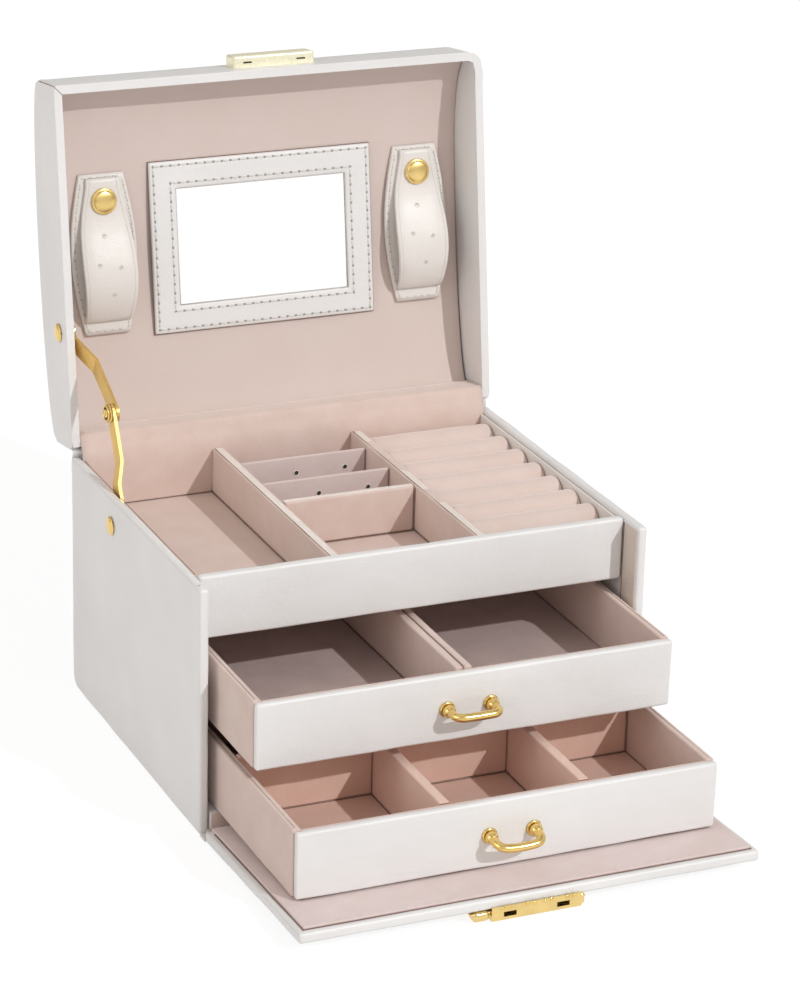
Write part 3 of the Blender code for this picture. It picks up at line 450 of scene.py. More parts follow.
def runs(corners, closed=False):
    """The straight runs of an outline."""
    return [[a, b] for a, b in zip(corners, corners[1:] + (corners[:1] if closed else []))]


def lines(name, paths, body, radius=0.00013, material=CREASE_SHADE, matrix=None):
    """Thin dark lines where two covered boards meet: painted shade in the creases, seams and gaps between
    them.
    """
    shapes = [tube([Vector(p) for p in path], radius, 6) for path in paths]
    return piece(name, joined(*shapes), material, body, matrix=matrix)


def bay_lines(low, high):
    """The floor's outline and the two far corners of one compartment."""
    near, far, deck = low[1], high[1], low[2]
    floor = [(low[0], near, deck), (low[0], far, deck), (high[0], far, deck), (high[0], near, deck)]
    return runs(floor) + [[(x, far, deck), (x, far, high[2])] for x in (low[0], high[0])]


def local_box(node, matrix):
    """A CAD solid's bounds in a tilted part's own frame."""
    places = [matrix.inverted() @ v.co for v in frame["nodes"][node].data.vertices]
    return [Vector([pick(p[i] for p in places) for i in range(3)]) for pick in (min, max)]


# The body
def body_of(node):
    bodies = frame["record"]["behaviour"]["bodies"]
    return next(body for body, nodes in bodies.items() if node in nodes)


def cover(node, material, radius, wave=0.0, spacing=0.008):
    """A softly rounded piece in the place of a square CAD board."""
    shape = rounded_box(*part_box(node), radius, spacing, wave, len(node) * 1.7)
    return piece(f"{node}_cover", shape, material, body_of(node), node)


def build_body():
    for node in ("left_side_panel", "right_side_panel"):
        build_side_panel(node)
    cover("back_panel", PEARL, 0.001, 0.00012)
    cover("base_board", PEARL, 0.001, 0.00012)
    cover("back_hinge_strip", PEARL, 0.00024, 0.0, 0.006)
    cover("flap_hinge_strip", PEARL, 0.0005, 0.0001, 0.006)
    cover("tray_front_panel", PEARL, 0.0012, 0.0002, 0.006)
    cover("drawer_shelf", PINK, 0.0005)
    cover("tray_floor", PINK, 0.0005)
    cover("tray_right_lining", STRAP, 0.0004)
    for node in ("tray_divider_left", "tray_divider_right", "tray_cross_divider"):
        cover(node, PINK, 0.001, 0.00018, 0.005)
    for node in EARRING_PANELS:
        cover(node, EARRING, 0.0005, 0.0, 0.004)
    build_rolls()
    build_tray_trim()
    build_bay_shade_and_side_lining()


def build_bay_shade_and_side_lining():
    """Near-black sheets of painted shade in the drawers' bay, and the beige lining in front of the tray's
    end, darkened with painted shade.
    """
    thick, rounding, gap = 0.0003, 0.0002, 0.0016
    left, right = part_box("left_side_panel")[1].x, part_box("right_side_panel")[0].x
    end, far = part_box("tray_front_panel")[0].y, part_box("back_panel")[0].y
    floor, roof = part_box("base_board")[1].z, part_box("drawer_shelf")[0].z
    sides = []
    for x in (left, right):
        near, top = (x - thick, end + 0.0002, floor), (x + thick, far, roof - 0.0002)
        sides.append(rounded_box(near, top, rounding))
    # Painted shade on the side panels' inner faces inside the bay
    piece("drawer_bay_painted_shade", joined(*sides), BAY_SHADE, "box")
    low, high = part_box("right_side_panel")
    near, top = (right - thick, low.y + 0.0012, floor), (right + thick, end, high.z - gap)
    # A beige lining, darkened with painted shade
    piece("right_side_front_lining", rounded_box(near, top, rounding), SIDE_LINING_SHADED, "box")
    # A dark line of painted shade in the slit at the tray front's end
    seam = [(right - 0.0004, end - 0.0003, z) for z in (roof, high.z - gap)]
    lines("tray_front_end_slit_shade", [seam], "box", 0.0002)


def build_side_panel(node):
    """A side panel with its lower back corner rounded."""
    low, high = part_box(node)
    points, faces = rounded_box(low, high, 0.0013, 0.003, 0.00022, len(node) * 1.7)
    radius = 0.006
    for spot in points:
        back, down = spot.y - (high.y - radius), low.z + radius - spot.z
        if back > 0 and down > 0:
            scale = max(back, down) / hypot(back, down)
            spot.y = high.y - radius + back * scale
            spot.z = low.z + radius - down * scale
    piece(f"{node}_cover", (points, faces), PEARL, "box", node)


def build_tray_trim():
    """Dark lines of painted shade along the tray's compartments."""
    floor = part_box("tray_floor")[1].z + 0.0004
    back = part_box("tray_back_lining")[0].y - 0.0002
    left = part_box("left_side_panel")[1].x + 0.0002
    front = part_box("tray_front_panel")[1].y + 0.0002
    first_low, first_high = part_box("tray_divider_left")
    cross_low, cross_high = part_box("tray_cross_divider")
    second_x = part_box("tray_divider_right")[0].x
    paths = bay_lines((left, front, floor), (first_low.x, back, first_high.z - 0.0015))
    paths += bay_lines((first_high.x, front, floor), (second_x, cross_low.y, cross_high.z - 0.001))
    for node in EARRING_PANELS:
        low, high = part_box(node)
        near = low.y - 0.0001
        paths += [[(x, near, low.z + 0.004), (x, near, high.z - 0.0003)] for x in (low.x, high.x)]
    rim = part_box("left_side_panel")[1].z - 0.0006
    paths.append([(left, front, rim), (left, back, rim)])
    corner = (left - 0.003, front - 0.0112, rim + 0.0006)
    paths.append([corner, (left - 0.0008, front - 0.0098, rim + 0.0001)])
    lines("tray_creases", paths, "box")
    build_divider_strips()
    build_earring_holes()


def top_strip(low, high, across, along, seed):
    """A thin strip on top of a board, drawn in from the board's edges."""
    start = (low.x + across, low.y + along, high.z - 0.0008)
    end = (high.x - across, high.y - along, high.z + 0.0001)
    return rounded_box(start, end, 0.0003, 0.005, 0.0002, seed)


def build_divider_strips():
    """Lighter cream strips along the dividers' tops, with a seam along the two long ones."""
    across, along = 0.0009, 0.001
    strips, seams = [], []
    for node in ("tray_divider_left", "tray_divider_right"):
        low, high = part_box(node)
        strips.append(top_strip(low, high, across, along, 2.0))
        seams.append([(low.x + across, y, high.z - 0.0001) for y in (low.y + along, high.y - along)])
    strips.append(top_strip(*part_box("tray_cross_divider"), 0.0, 0.0008, 4.0))
    piece("divider_top_strips", joined(*strips), CREAM, "box")
    lines("divider_strip_seams", seams, "box", 0.00014)


def build_earring_holes():
    rims, holes = [], []
    for node in EARRING_PANELS:
        for x in EARRING_HOLES:
            spot = Vector((x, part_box(node)[0].y - 0.0001, EARRING_HOLE_HEIGHT))
            rims.append(tube(ring_path(spot, -DEEPER, 0.001), 0.00016, 8, True))
            holes.append((spot, -OUT_OF_LID, -DEEPER))
    piece("earring_hole_rims", joined(*rims), THREAD, "box")
    # Dark discs of painted shade inside the earring holes
    piece("earring_holes", capsules(holes, 0.0021, 0.002, 0.00006), DEEP_SHADE, "box")


def build_rolls():
    for k in range(1, 8):
        node = f"ring_roll_{k}"
        shape = roll_shape(*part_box(node), k)
        piece(f"{node}_velvet", shape, ROLL, "box", node)


def roll_shape(low, high, seed):
    """One foam roll: upright sides under a half-round crown, with pinched ends."""
    middle, half = (low.y + high.y) / 2, (high.y - low.y) / 2
    crown, foot, pinch, pinch_length = 0.0085, low.z + 0.0002, 0.0011, 0.0016
    shoulder = high.z - crown
    ends = (0.0, 0.0002, 0.0006, 0.0012, 0.002)
    stations = with_ends(low.x, high.x, ends, even(low.x + 0.004, high.x - 0.004, 18))
    rings = []
    for x in stations:
        end = min(x - low.x, high.x - x)
        shrink = pinch * (1 - sqrt(max(0.0, 1 - (1 - min(1.0, end / pinch_length)) ** 2)))
        soft = 0.00025 * noise.noise(Vector((x * 70.0, seed * 3.1, 0.0)))
        wide, tall = half - shrink, crown - shrink - 0.0002 + soft
        ring = [Vector((x, middle - wide, foot)), Vector((x, middle + wide, foot))]
        for a in angles(0, 180, 25):
            ring.append(Vector((x, middle + wide * cos(a), shoulder + tall * sin(a))))
        rings.append(ring)
    return loft(rings)


# The lid
def lid_arc(near, far, crown):
    """The lid's side outline as (s, h): a half ellipse over straight walls."""
    middle, half = (near + far) / 2, (far - near) / 2
    arc = angles(0, 180, 49)
    return [(middle - half * cos(a), LID_WALL_HEIGHT + crown * sin(a)) for a in arc]


def build_lid():
    half, step = HALF_WIDTH - 0.0005, 0.00012
    outer = [(0.0, 0.0)] + lid_arc(0.0, LID_LENGTH, 0.0089) + [(LID_LENGTH, 0.0)]
    near, far = LID_WALL, LID_LENGTH - LID_WALL
    inner = [(near, 0.0)] + lid_arc(near, far, 0.0055) + [(far, 0.0)]
    xs = with_ends(-half, half, even(0.0, 0.0045, 10), even(-half + 0.0055, half - 0.0055, 20))
    rings = [[corner_round(x, s, h) for s, h in outer + inner[::-1]] for x in xs]
    soften(piece("lid_shell_cover", loft(rings), PEARL, "lid", "lid_shell", LID), 0.0015)
    # The sides stand out from the shell by a hair, so no two faces lie in one plane
    heel = [(0.0032, -step), (0.0012, 0.0003), (-0.0003, 0.0012), (-0.0012, 0.0027)]
    heel += [(-0.0014, 0.0044), (-0.0014, 0.019)]
    cheek = lid_arc(-step, LID_LENGTH + step, 0.009) + [(LID_LENGTH + step, -step)]
    rim = [(s, -step) for s in even(LID_LENGTH - 0.003, 0.006, 28)]
    for name, side in (("lid_left_side", -1), ("lid_right_side", 1)):
        xs = sorted(side * (HALF_WIDTH - LID_SIDE_WALL * i / 7) for i in range(8))
        rings = [[corner_round(x, s, h) for s, h in heel + cheek + rim] for x in xs]
        soften(piece(f"{name}_cover", loft(rings), PEARL, "lid", name, LID), 0.0014)
    build_lining()
    build_web()
    build_hinge_fold()
    build_latch()
    build_lid_seams()
    build_mirror_frame()
    for name, centre in (("left", -0.065), ("right", 0.065)):
        build_strap(name, centre)


def corner_round(x, s, h):
    """The lid's far corners, rounded wider at the right."""
    radius = 0.0065 if x > 0 else 0.0016
    across, along = abs(x) - (HALF_WIDTH - radius), s - (LID_LENGTH - radius)
    if across > 0 and along > 0:
        scale = max(across, along) / hypot(across, along)
        x = copysign(HALF_WIDTH - radius + across * scale, x)
        s = LID_LENGTH - radius + along * scale
    return Vector((x, -s, h))


def soften(made, width):
    """Round the sharp edges of a piece and keep its broad faces flat."""
    bevel = made.modifiers.new("soft edges", "BEVEL")
    bevel.width = width
    bevel.segments = 4
    bevel.limit_method = "ANGLE"
    bevel.angle_limit = radians(40)
    bevel.harden_normals = True


def ceiling(s):
    """The height of the lid's padded ceiling, which swells towards the latch side."""
    share = (s - 0.069) / 0.0653
    padding = 0.0045 * exp(-max(0.0, CEILING_END - s) / 0.01)
    return 0.0128 + 0.007 * sqrt(max(0.0, 1 - share * share)) - padding


def build_lid_seams():
    """The mitred seam at the rim's left corner and a dark line of painted shade in the crease under the
    lining.
    """
    inner, outer = LID_SIDE_WALL - HALF_WIDTH, 0.0003 - HALF_WIDTH
    edge = 0.0002 - LID_LENGTH
    paths = [[(inner, LID_WALL - LID_LENGTH, -0.0001), (outer, 0.0004 - LID_LENGTH, -0.0001)]]
    paths.append([(outer, edge, 0.0008), (outer, edge, 0.0185)])
    lines("lid_mitre_seams", paths, "lid", 0.00014, matrix=LID)
    half = HALF_WIDTH - LID_SIDE_WALL - 0.0008
    crease = [(x, -0.004, 0.0139) for x in even(-half, half, 30)]
    lines("lid_lining_crease", [crease], "lid", 0.00034, matrix=LID)


def build_lining():
    """The padded ceiling of the lid, from wall to wall."""
    half = HALF_WIDTH - LID_SIDE_WALL - 0.0006
    spots = [0.0038 + 0.0002 * i for i in range(4)] + even(0.006, 0.132, 64) + [0.1336, 0.134, 0.1343]
    columns = with_ends(-half, half, (0.0, 0.0004, 0.001), even(-half + 0.003, half - 0.003, 40))
    rows = []
    for s in spots:
        row = []
        for x in columns:
            edge = min(half - abs(x), s - 0.0036, CEILING_END - s)
            pinch = 0.0012 * exp(-max(edge, 0.0) / 0.0012)
            soft = 0.00035 * noise.noise(Vector((x * 28.0, s * 28.0, 4.0)))
            row.append(Vector((x, -s, ceiling(s) + pinch + soft)))
        rows.append(row)
    lining = piece("lid_lining_velvet", skin(rows, True), LINING, "lid", "lid_lining", LID)


def bent_sheet(name, bends, half, columns, material, stands_for=None, ripple=0.0):
    """A thin sheet through (y, z) bends over the hinge gap, on no body."""
    path = [Vector((0.0, y, z)) for y, z in bends]
    smooth = []
    for a, b, c, d in zip([path[0]] + path, path, path[1:], path[2:] + [path[-1]]):
        smooth += [spline(a, b, c, d, t) for t in (0.0, 0.25, 0.5, 0.75)]
    rows = []
    for spot in smooth + [path[-1]]:
        row = []
        for x in even(-half, half, columns):
            wave = ripple * noise.noise(Vector((x * 40.0, spot.z * 60.0, 9.0)))
            row.append(Vector((x, spot.y - wave, spot.z)))
        rows.append(row)
    made = piece(name, skin(rows), material, None, stands_for)
    thick = made.modifiers.new("thickness", "SOLIDIFY")
    thick.thickness = 0.0006
    thick.offset = 0.0
    bpy.context.view_layer.update()
    return made


def build_web():
    """The velvet from the lid's lining over the hinge gap and down the tray's back."""
    on_lid = ((0.0041, 0.0146), (0.0046, 0.011), (0.0047, 0.006), (0.0046, 0.0025), (0.0042, 0.0004))
    bends = [(LID @ Vector((0.0, -s, h))).yz for s, h in on_lid]
    bends += [(0.0674, 0.0995), (0.0663, 0.097), (0.0657, 0.094), (0.0655, 0.09), (0.0655, 0.086)]
    bends += [(0.0655, 0.082), (0.0655, 0.078), (0.0655, 0.0755)]
    web = bent_sheet("hinge_web_velvet", bends, HALF_WIDTH - 0.0034, 48, PINK, "tray_back_lining", 0.0003)
    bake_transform(web)


def build_hinge_fold():
    """The leather from the back panel round the hinge gap to the lid's back wall."""
    bends = ((0.0713, 0.088), (0.0713, 0.0925), (0.0706, 0.095), (0.07, 0.0962))
    bends += ((0.071, 0.0974), (0.0755, 0.0978), (0.08, 0.0974))
    fold = bent_sheet("hinge_fold_leather", bends, HALF_WIDTH - 0.0008, 24, PEARL)
    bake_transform(fold)


def build_latch():
    """The latch bar on the lid's front wall, pale gold as a painted reflection, with its two slots."""
    shape = rounded_box((-0.013, -0.1426, 0.0075), (0.0202, -0.1365, 0.0165), 0.001, 0.004)
    piece("latch_bar_plate", shape, GOLD_WITH_PAINTED_REFLECTION, "lid", "latch_bar", LID)
    # The two slots are dark lines of painted shade
    slots = [[(x, -0.14, 0.0074) for x in ends] for ends in ((-0.009, -0.0058), (0.0128, 0.0162))]
    lines("latch_bar_slots", slots, "lid", 0.0003, DEEP_SHADE, LID)


def spline(a, b, c, d, t):
    """A point between b and c on the smooth curve through a, b, c and d."""
    bend = 2 * a - 5 * b + 4 * c - d
    return 0.5 * (2 * b + (c - a) * t + bend * t * t + (3 * b - a - 3 * c + d) * t ** 3)


def rectangle(half, near, far, level=0.0):
    """The corners of an upright rectangle on the lid."""
    return [Vector((x, -s, level)) for x, s in ((half, near), (half, far), (-half, far), (-half, near))]


def build_mirror_frame():
    """The leather frame with its two stitched rows."""
    half, near, far = 0.04575, 0.0365, 0.1033
    glass_half, glass_near, glass_far = 0.03515, 0.047, 0.0926
    low, high = local_box("mirror_frame", LID)
    face, back, r = low.z, high.z, 0.0006
    profile = [(0.0, back), (0.0, face + r), (0.02, face + 0.3 * r), (0.06, face), (0.3, face), (0.5, face)]
    profile += [(0.7, face), (0.94, face), (0.98, face + 0.3 * r), (1.0, face + r), (1.0, back)]
    outer, inner = rectangle(half, near, far), rectangle(glass_half, glass_near, glass_far)
    rings = []
    for i in range(4):
        after = (i + 1) % 4
        for t in [0.0, 0.02] + [k / 12 for k in range(1, 12)] + [0.98]:
            rim, sill = outer[i].lerp(outer[after], t), inner[i].lerp(inner[after], t)
            ring = []
            for share, height in profile:
                x, y, _ = rim.lerp(sill, share)
                lift = 0.00008 * noise.noise(Vector((x * 80.0, -y * 80.0, 2.0)))
                ring.append(Vector((x, y, height + lift)))
            rings.append(ring)
    count, faces = len(profile), []
    for n in range(len(rings)):
        m = (n + 1) % len(rings)
        for i in range(count - 1):
            faces.append((n * count + i, m * count + i, m * count + i + 1, n * count + i + 1))
    points = [p for ring in rings for p in ring]
    piece("mirror_frame_leather", (points, faces), PEARL, "lid", "mirror_frame", LID)
    # A soft dark line of painted shade round the glass's edge
    glass = rectangle(glass_half, glass_near, glass_far, face + 0.0004)
    lines("mirror_glass_edge", runs(glass, True), "lid", 0.00018, SOFT_SHADE, LID)
    # A dark line of painted shadow round the frame's outer edge
    edge = rectangle(half + 0.0002, near - 0.0002, far + 0.0002, face + 0.0012)
    lines("mirror_frame_edge", runs(edge, True), "lid", 0.00014, matrix=LID)
    level, inset, gap = face - 0.00005, 0.0016, 0.0022
    rows = [rectangle(half - inset, near + inset, far - inset, level)]
    rows.append(rectangle(glass_half + gap, glass_near - gap, glass_far + gap, level))
    sew("mirror_frame_seam", rows, 0.0036, closed=True)


def ribbon(stations, thickness, edge):
    """A strip with softly rounded edges: stations are (centre, out, half width)."""
    side = [(0.45, 1.03), (0.9, 1.0), (0.97, 0.88), (1.0, 0.5)]
    section = [(-u, w) for u, w in reversed(side)] + [(0.0, 1.04)] + side
    section += [(1.0, 0.12), (0.9, 0.0), (-0.9, 0.0), (-1.0, 0.12)]
    rings = []
    for centre, out, half in stations:
        ring = []
        for u, w in section:
            x = u * half if abs(u) < 0.9 else copysign(half - edge * (1 - abs(u)) / 0.1, u)
            ring.append(centre + ACROSS * x + out * (thickness * w))
        rings.append(ring)
    return loft(rings)


def build_strap(name, centre):
    """A strap's stitched patch, and the strap on it."""
    low, high = local_box(f"{name}_strap_backing", LID)
    seat, face = high.z, low.z
    end, belly = 0.018, 0.0265
    bulge = [(belly - end) * sin(pi * i / 28) for i in range(29)]
    outline = [(-PATCH_START - PATCH_LENGTH * i / 28, (end + more) / 2) for i, more in enumerate(bulge)]
    stations = [(Vector((centre, y, seat)), OUT_OF_LID, half) for y, half in outline]
    patch = ribbon(stations, seat - face, 0.0006)
    piece(f"{name}_strap_patch", patch, STRAP, "lid", f"{name}_strap_backing", LID)
    inset, pitch, level = 0.0013, 0.0031, face - 0.00005
    rows = []
    for side in (1, -1):
        edge = [Vector((centre + side * (half - inset), y, level)) for y, half in outline]
        rows.append(resample(edge[1:-1], pitch))
    half = end / 2 - inset
    for along in (inset, PATCH_LENGTH - inset):
        rows.append([Vector((centre + x, -PATCH_START - along, level)) for x in (-half, half)])
    sew(f"{name}_patch_seam", rows, pitch, size=0.8, pierced=SOFT_SHADE)
    build_strap_leather(name, centre, face - 0.0003)


def strap_bow(t):
    """The strap's lift: sharply up from its fold and gently down to the snap."""
    rise = 0.34
    if t < rise:
        return sin(pi / 2 * t / rise) ** 0.72
    return 0.5 * (1 + cos(pi * min(1.0, (t - rise) / (1 - rise))))


def resample(points, pitch):
    length = sum((b - a).length for a, b in zip(points, points[1:]))
    count = max(1, round(length / pitch))
    found, travelled, target = [points[0]], 0.0, length / count
    for a, b in zip(points, points[1:]):
        step = (b - a).length
        while travelled + step >= target * len(found) - 1e-9 and len(found) < count:
            found.append(a.lerp(b, (target * len(found) - travelled) / step))
        travelled += step
    return found + [points[-1]]


def build_strap_leather(name, centre, level):
    """A tie-shaped strap, bowed out from its root and closed by a snap."""
    fold, tip, belly, bow, last = 0.0187, 0.0134, 0.0052, 0.0058, 48
    spots = []
    for i in range(last + 1):
        share = 1 - cos(pi * i / (2 * last))
        half = (fold + (tip - fold) * share + belly * sin(pi * min(1.0, share * 1.06))) / 2
        height = level - bow * strap_bow(share / 0.8) - 0.0005 * (1 - share) ** 2
        spots.append((Vector((centre, -STRAP_START - STRAP_LENGTH * share, height)), half))
    stations = []
    for i, (spot, half) in enumerate(spots):
        direction = (spots[min(i + 1, last)][0] - spots[max(i - 1, 0)][0]).normalized()
        lifted = direction.cross(ACROSS)
        stations.append((spot, -lifted if lifted.z > 0 else lifted, half))
    strap_body = f"{name}_strap"
    roll = [Vector((centre + x, -0.0457, level - 0.0009)) for x in even(-0.009, 0.009, 9)]
    shape = joined(ribbon(stations, STRAP_THICKNESS, 0.0005), tube(roll, 0.0011, 16))
    made = piece(f"{name}_strap_leather", shape, STRAP, None, strap_body, LID)
    inset, lift = 0.0014, STRAP_THICKNESS + 0.00003
    grooves = []
    for side in (ACROSS, -ACROSS):
        grooves.append([spot + side * (half - inset) + up * lift for spot, up, half in stations[3:]])
    grooved = lines(f"{name}_strap_edge_lines", grooves, None, 0.00013, THREAD, LID)
    bpy.context.view_layer.update()
    for bent in (made, grooved):
        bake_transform(bent)
    build_snap(name, stations, strap_body)


def nearest(stations, s):
    """The strap's station nearest to a place along the lid."""
    return min(stations, key=lambda station: abs(station[0].y + s))


def build_snap(name, stations, body):
    """The snap's domed cap in its rolled rim, and the strap's four punched holes, dark with painted shade.
    """
    dome, rim = 0.0041, 0.0051
    spot, lifted, _ = nearest(stations, 0.09)
    profile = [(0.0, 0.0022)]
    for a in angles(81, 9, 9):
        profile.append((dome * cos(a) / cos(radians(9)), 0.0013 + 0.0009 * sin(a)))
    profile += [(0.0043, 0.0011), (0.0045, 0.0011), (0.0048, 0.0011), (rim, 0.0008), (rim, 0.0004)]
    profile += [(0.0048, 0.0), (0.0, 0.0)]
    turn = lifted.to_track_quat("Z", "Y").to_matrix().to_4x4()
    turn = LID @ Matrix.Translation(spot + lifted * STRAP_THICKNESS) @ turn
    piece(f"{name}_snap_dome", turned(profile), SATIN, body, f"{name}_snap_cap", turn)
    holes = []
    for x, s in ((-0.001, 0.0772), (-0.0043, 0.0662), (0.0041, 0.0657), (0.0008, 0.0556)):
        spot, lifted, _ = nearest(stations, s)
        holes.append((spot + ACROSS * x + lifted * 0.00146, DEEPER, lifted))
    rims = [tube(ring_path(p, n, 0.00075), 0.00022, 8, True) for p, _, n in holes]
    piece(f"{name}_strap_eyelet_rims", joined(*rims), THREAD, body, matrix=LID)
    piece(f"{name}_strap_eyelets", capsules(holes, 0.0011, 0.0011, 0.00006), SOFT_SHADE, body, matrix=LID)


def ring_path(centre, normal, radius, steps=16):
    side = normal.orthogonal().normalized()
    up = normal.cross(side)
    return [centre + (side * u + up * v) * radius for u, v in circle(steps)]


# The flap and the drawers
def build_flap():
    """The flap's board and velvet, its fold and its lock."""
    length, hinge, inset = 0.09, -0.0003, 0.0026
    board = (-HALF_WIDTH, -length, 0.0), (HALF_WIDTH, hinge, 0.0042)
    shape = rounded_box(*board, 0.0013, 0.006, 0.0002, 3.0)
    piece("flap_board_cover", shape, PEARL, "flap", "flap_board", FLAP)
    wide, far = HALF_WIDTH - inset, inset - length
    shape = rounded_box((-wide, far, 0.004), (wide, hinge, 0.0052), 0.0005, 0.008, 0.0001, 5.0)
    piece("flap_lining_velvet", shape, FLAP_VELVET, "flap", "flap_lining", FLAP)
    # A dark line of painted shade in the gap round the flap's velvet
    wide, near, far, level = wide + 0.0002, -0.004, far - 0.0002, 0.0043
    edge = [(-wide, near, level), (-wide, far, level), (wide, far, level), (wide, near, level)]
    lines("flap_lining_edge", runs(edge), "flap", 0.00022, matrix=FLAP)
    build_fold_lining()
    build_lock()


def build_fold_lining():
    """The flap's velvet goes on over its fold and up the base's front edge."""
    base_low, base_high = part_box("base_board")
    low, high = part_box("flap_hinge_strip")
    near = (low.x + 0.0026, low.y + 0.0001, high.z - 0.0004)
    far = (high.x - 0.0026, base_low.y, high.z + 0.0008)
    strip = rounded_box(near, far, 0.0005, 0.006, 0.0002, 6.0)
    near = (base_low.x + 0.0002, base_low.y - 0.0007, 0.0013)
    far = (base_high.x - 0.0002, base_low.y + 0.0004, base_high.z)
    riser = rounded_box(near, far, 0.0005, 0.006, 0.0002, 8.0)
    piece("flap_fold_velvet", joined(strip, riser), PINK, "box")


def build_lock():
    """The lock's studs, hinge lug and rolled end."""
    low, high = local_box("lock_case", FLAP)
    radius, height = 0.0009, 0.0008
    profile = [(0.0, height)]
    profile += [(radius * sin(a), height * cos(a)) for a in angles(15, 90, 6)]
    stud = turned(profile + [(0.0, 0.0)], 14)
    studs = []
    for share in (0.16, 0.43, 0.62, 0.88):
        for step in (-0.0013, 0.0013):
            place = (low.x + (high.x - low.x) * share + step, low.y + 0.0002, high.z - 0.0004)
            studs.append(moved(stud, facing_front(place)))
    piece("lock_studs", joined(*studs), GOLD, "flap", matrix=FLAP)
    near = (low.x - 0.0066, low.y + 0.0004, low.z + 0.0002)
    lug = rounded_box(near, (low.x - 0.0006, low.y + 0.0052, low.z + 0.0038), 0.0013, 0.004)
    near = (high.x - 0.0008, low.y + 0.0003, low.z + 0.0001)
    rolled = rounded_box(near, (high.x + 0.0016, low.y + 0.006, high.z - 0.0004), 0.0011, 0.004)
    piece("lock_lug_and_end", joined(lug, rolled), BRASS, "flap", matrix=FLAP)


def build_drawers():
    for level, floor, velvet_floor in (("upper", 0.0027, GREY), ("lower", 0.002, PEACH_BOUNCE_SHADE)):
        body = f"{level}_drawer"
        low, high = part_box(f"{body}_front")
        shape = rounded_box(low, (high.x, low.y + 0.0034, high.z), 0.0013, 0.006, 0.0003, 7.0)
        piece(f"{body}_front_leather", shape, PEARL, body, f"{body}_front")
        if level == "lower":
            # A dark line of painted shadow where the lower drawer's front meets the flap's velvet
            foot = [(x, low.y + 0.0012, low.z + 0.0001) for x in (low.x + 0.0016, high.x - 0.0016)]
            lines("lower_drawer_front_foot", [foot], body, 0.00018)
        near, far = (low.x + 0.003, low.y + 0.003, low.z), (high.x - 0.003, high.y, high.z - 0.0006)
        piece(f"{body}_front_lining", rounded_box(near, far, 0.0006, 0.008), PINK, body)
        low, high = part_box(f"{body}_tray")
        wall = 0.0033
        near, left, right, back = low.y - 0.0014, low.x + wall, high.x - wall, high.y - wall
        blocks = (
            ((low.x, near, low.z), (left, high.y, high.z)),
            ((right, near, low.z), high),
            ((left, back, low.z), (right, high.y, high.z)),
        )
        walls = [rounded_box(a, b, 0.0007, 0.006, 0.00012) for a, b in blocks]
        piece(f"{body}_walls", joined(*walls), PINK, body, f"{body}_tray")
        bottom = rounded_box((left, low.y, low.z), (right, back, low.z + floor), 0.0003, 0.008)
        piece(f"{body}_floor", bottom, velvet_floor, body)
        build_handle(level, body)
        build_drawer_trim(level, body, low, high, wall, floor)
    # The lower drawer's dividers take the peach velvet with its painted shade
    for node in ("upper_drawer_divider_left", "upper_drawer_divider_right", "lower_drawer_divider_left",
                 "lower_drawer_divider_right", "lower_drawer_cross_divider"):
        cover(node, PEACH_BOUNCE_SHADE if node.startswith("lower") else PINK, 0.0008, 0.00012, 0.006)


def build_drawer_trim(level, body, low, high, wall, floor):
    """Dark lines of painted shade along the walls' tops and around each bay's floor."""
    top, mid = high.z - 0.0001, wall * 0.42
    start, end = low.x + wall, high.x - wall
    paths = [[(x, low.y, top), (x, high.y - mid, top)] for x in (low.x + mid, high.x - mid)]
    left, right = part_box(f"{body}_divider_left"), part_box(f"{body}_divider_right")
    deck, roof, far = low.z + floor + 0.0002, high.z - 0.001, high.y - wall
    bays = ((start, left[0].x), (right[1].x, end))
    if level == "lower":
        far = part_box("lower_drawer_cross_divider")[0].y
        bays = (bays[0], (left[1].x, right[0].x), bays[1])
    for a, b in bays:
        paths += bay_lines((a, low.y, deck), (b, far, roof))
    if level == "upper":
        paths.append([(left[1].x + 0.0001, y, left[1].z) for y in (left[0].y, left[1].y)])
    else:
        for near, tail in (left, right):
            paths.append([(x, near.y - 0.0001, tail.z - 0.0006) for x in (near.x + 0.0003, tail.x - 0.0003)])
    lines(f"{body}_creases", paths, body)


def build_handle(level, body):
    """A cast bow handle: two ball feet and a round bar that reaches forward and droops."""
    low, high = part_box(f"{body}_front")
    middle = (low.z + high.z) / 2 - 0.0002
    half, corner, neck, ball = 0.0085, 0.0032, 0.0026, 0.0024
    reach, droop, dip = 0.0064, radians(-1), 0.0002
    if level == "lower":
        reach, droop, dip = 0.006, radians(9), 0.001
    flat = [(half, 0.0), (half, 0.0014)]
    for a in angles(0, 90, 9):
        flat.append((half - corner + corner * cos(a), reach - corner + corner * sin(a)))
    flat += [(0.003, reach), (0.0, reach), (-0.003, reach)] + [(-x, out) for x, out in reversed(flat)]
    path = []
    for x, out in flat:
        sag = dip * (1 - (x / half) ** 2)
        path.append(Vector((x, low.y - neck - out * cos(droop), middle - out * sin(droop) - sag)))
    profile = [(0.0, 0.0043), (0.0007, 0.0043), (0.001, 0.0046)]
    for a in angles(65, -40, 12):
        profile.append((ball * cos(a), 0.002 + ball * sin(a)))
    foot = turned(profile + [(0.0019, 0.0006), (0.0028, 0.0004), (0.003, 0.0), (0.0, 0.0)], 28)
    feet = [moved(foot, facing_front((side * half, low.y - 0.0001, middle))) for side in (-1, 1)]
    shape = joined(tube(path, 0.0016, 20), *feet)
    piece(f"{body}_handle_cast", shape, GOLD, body, f"{body}_handle")


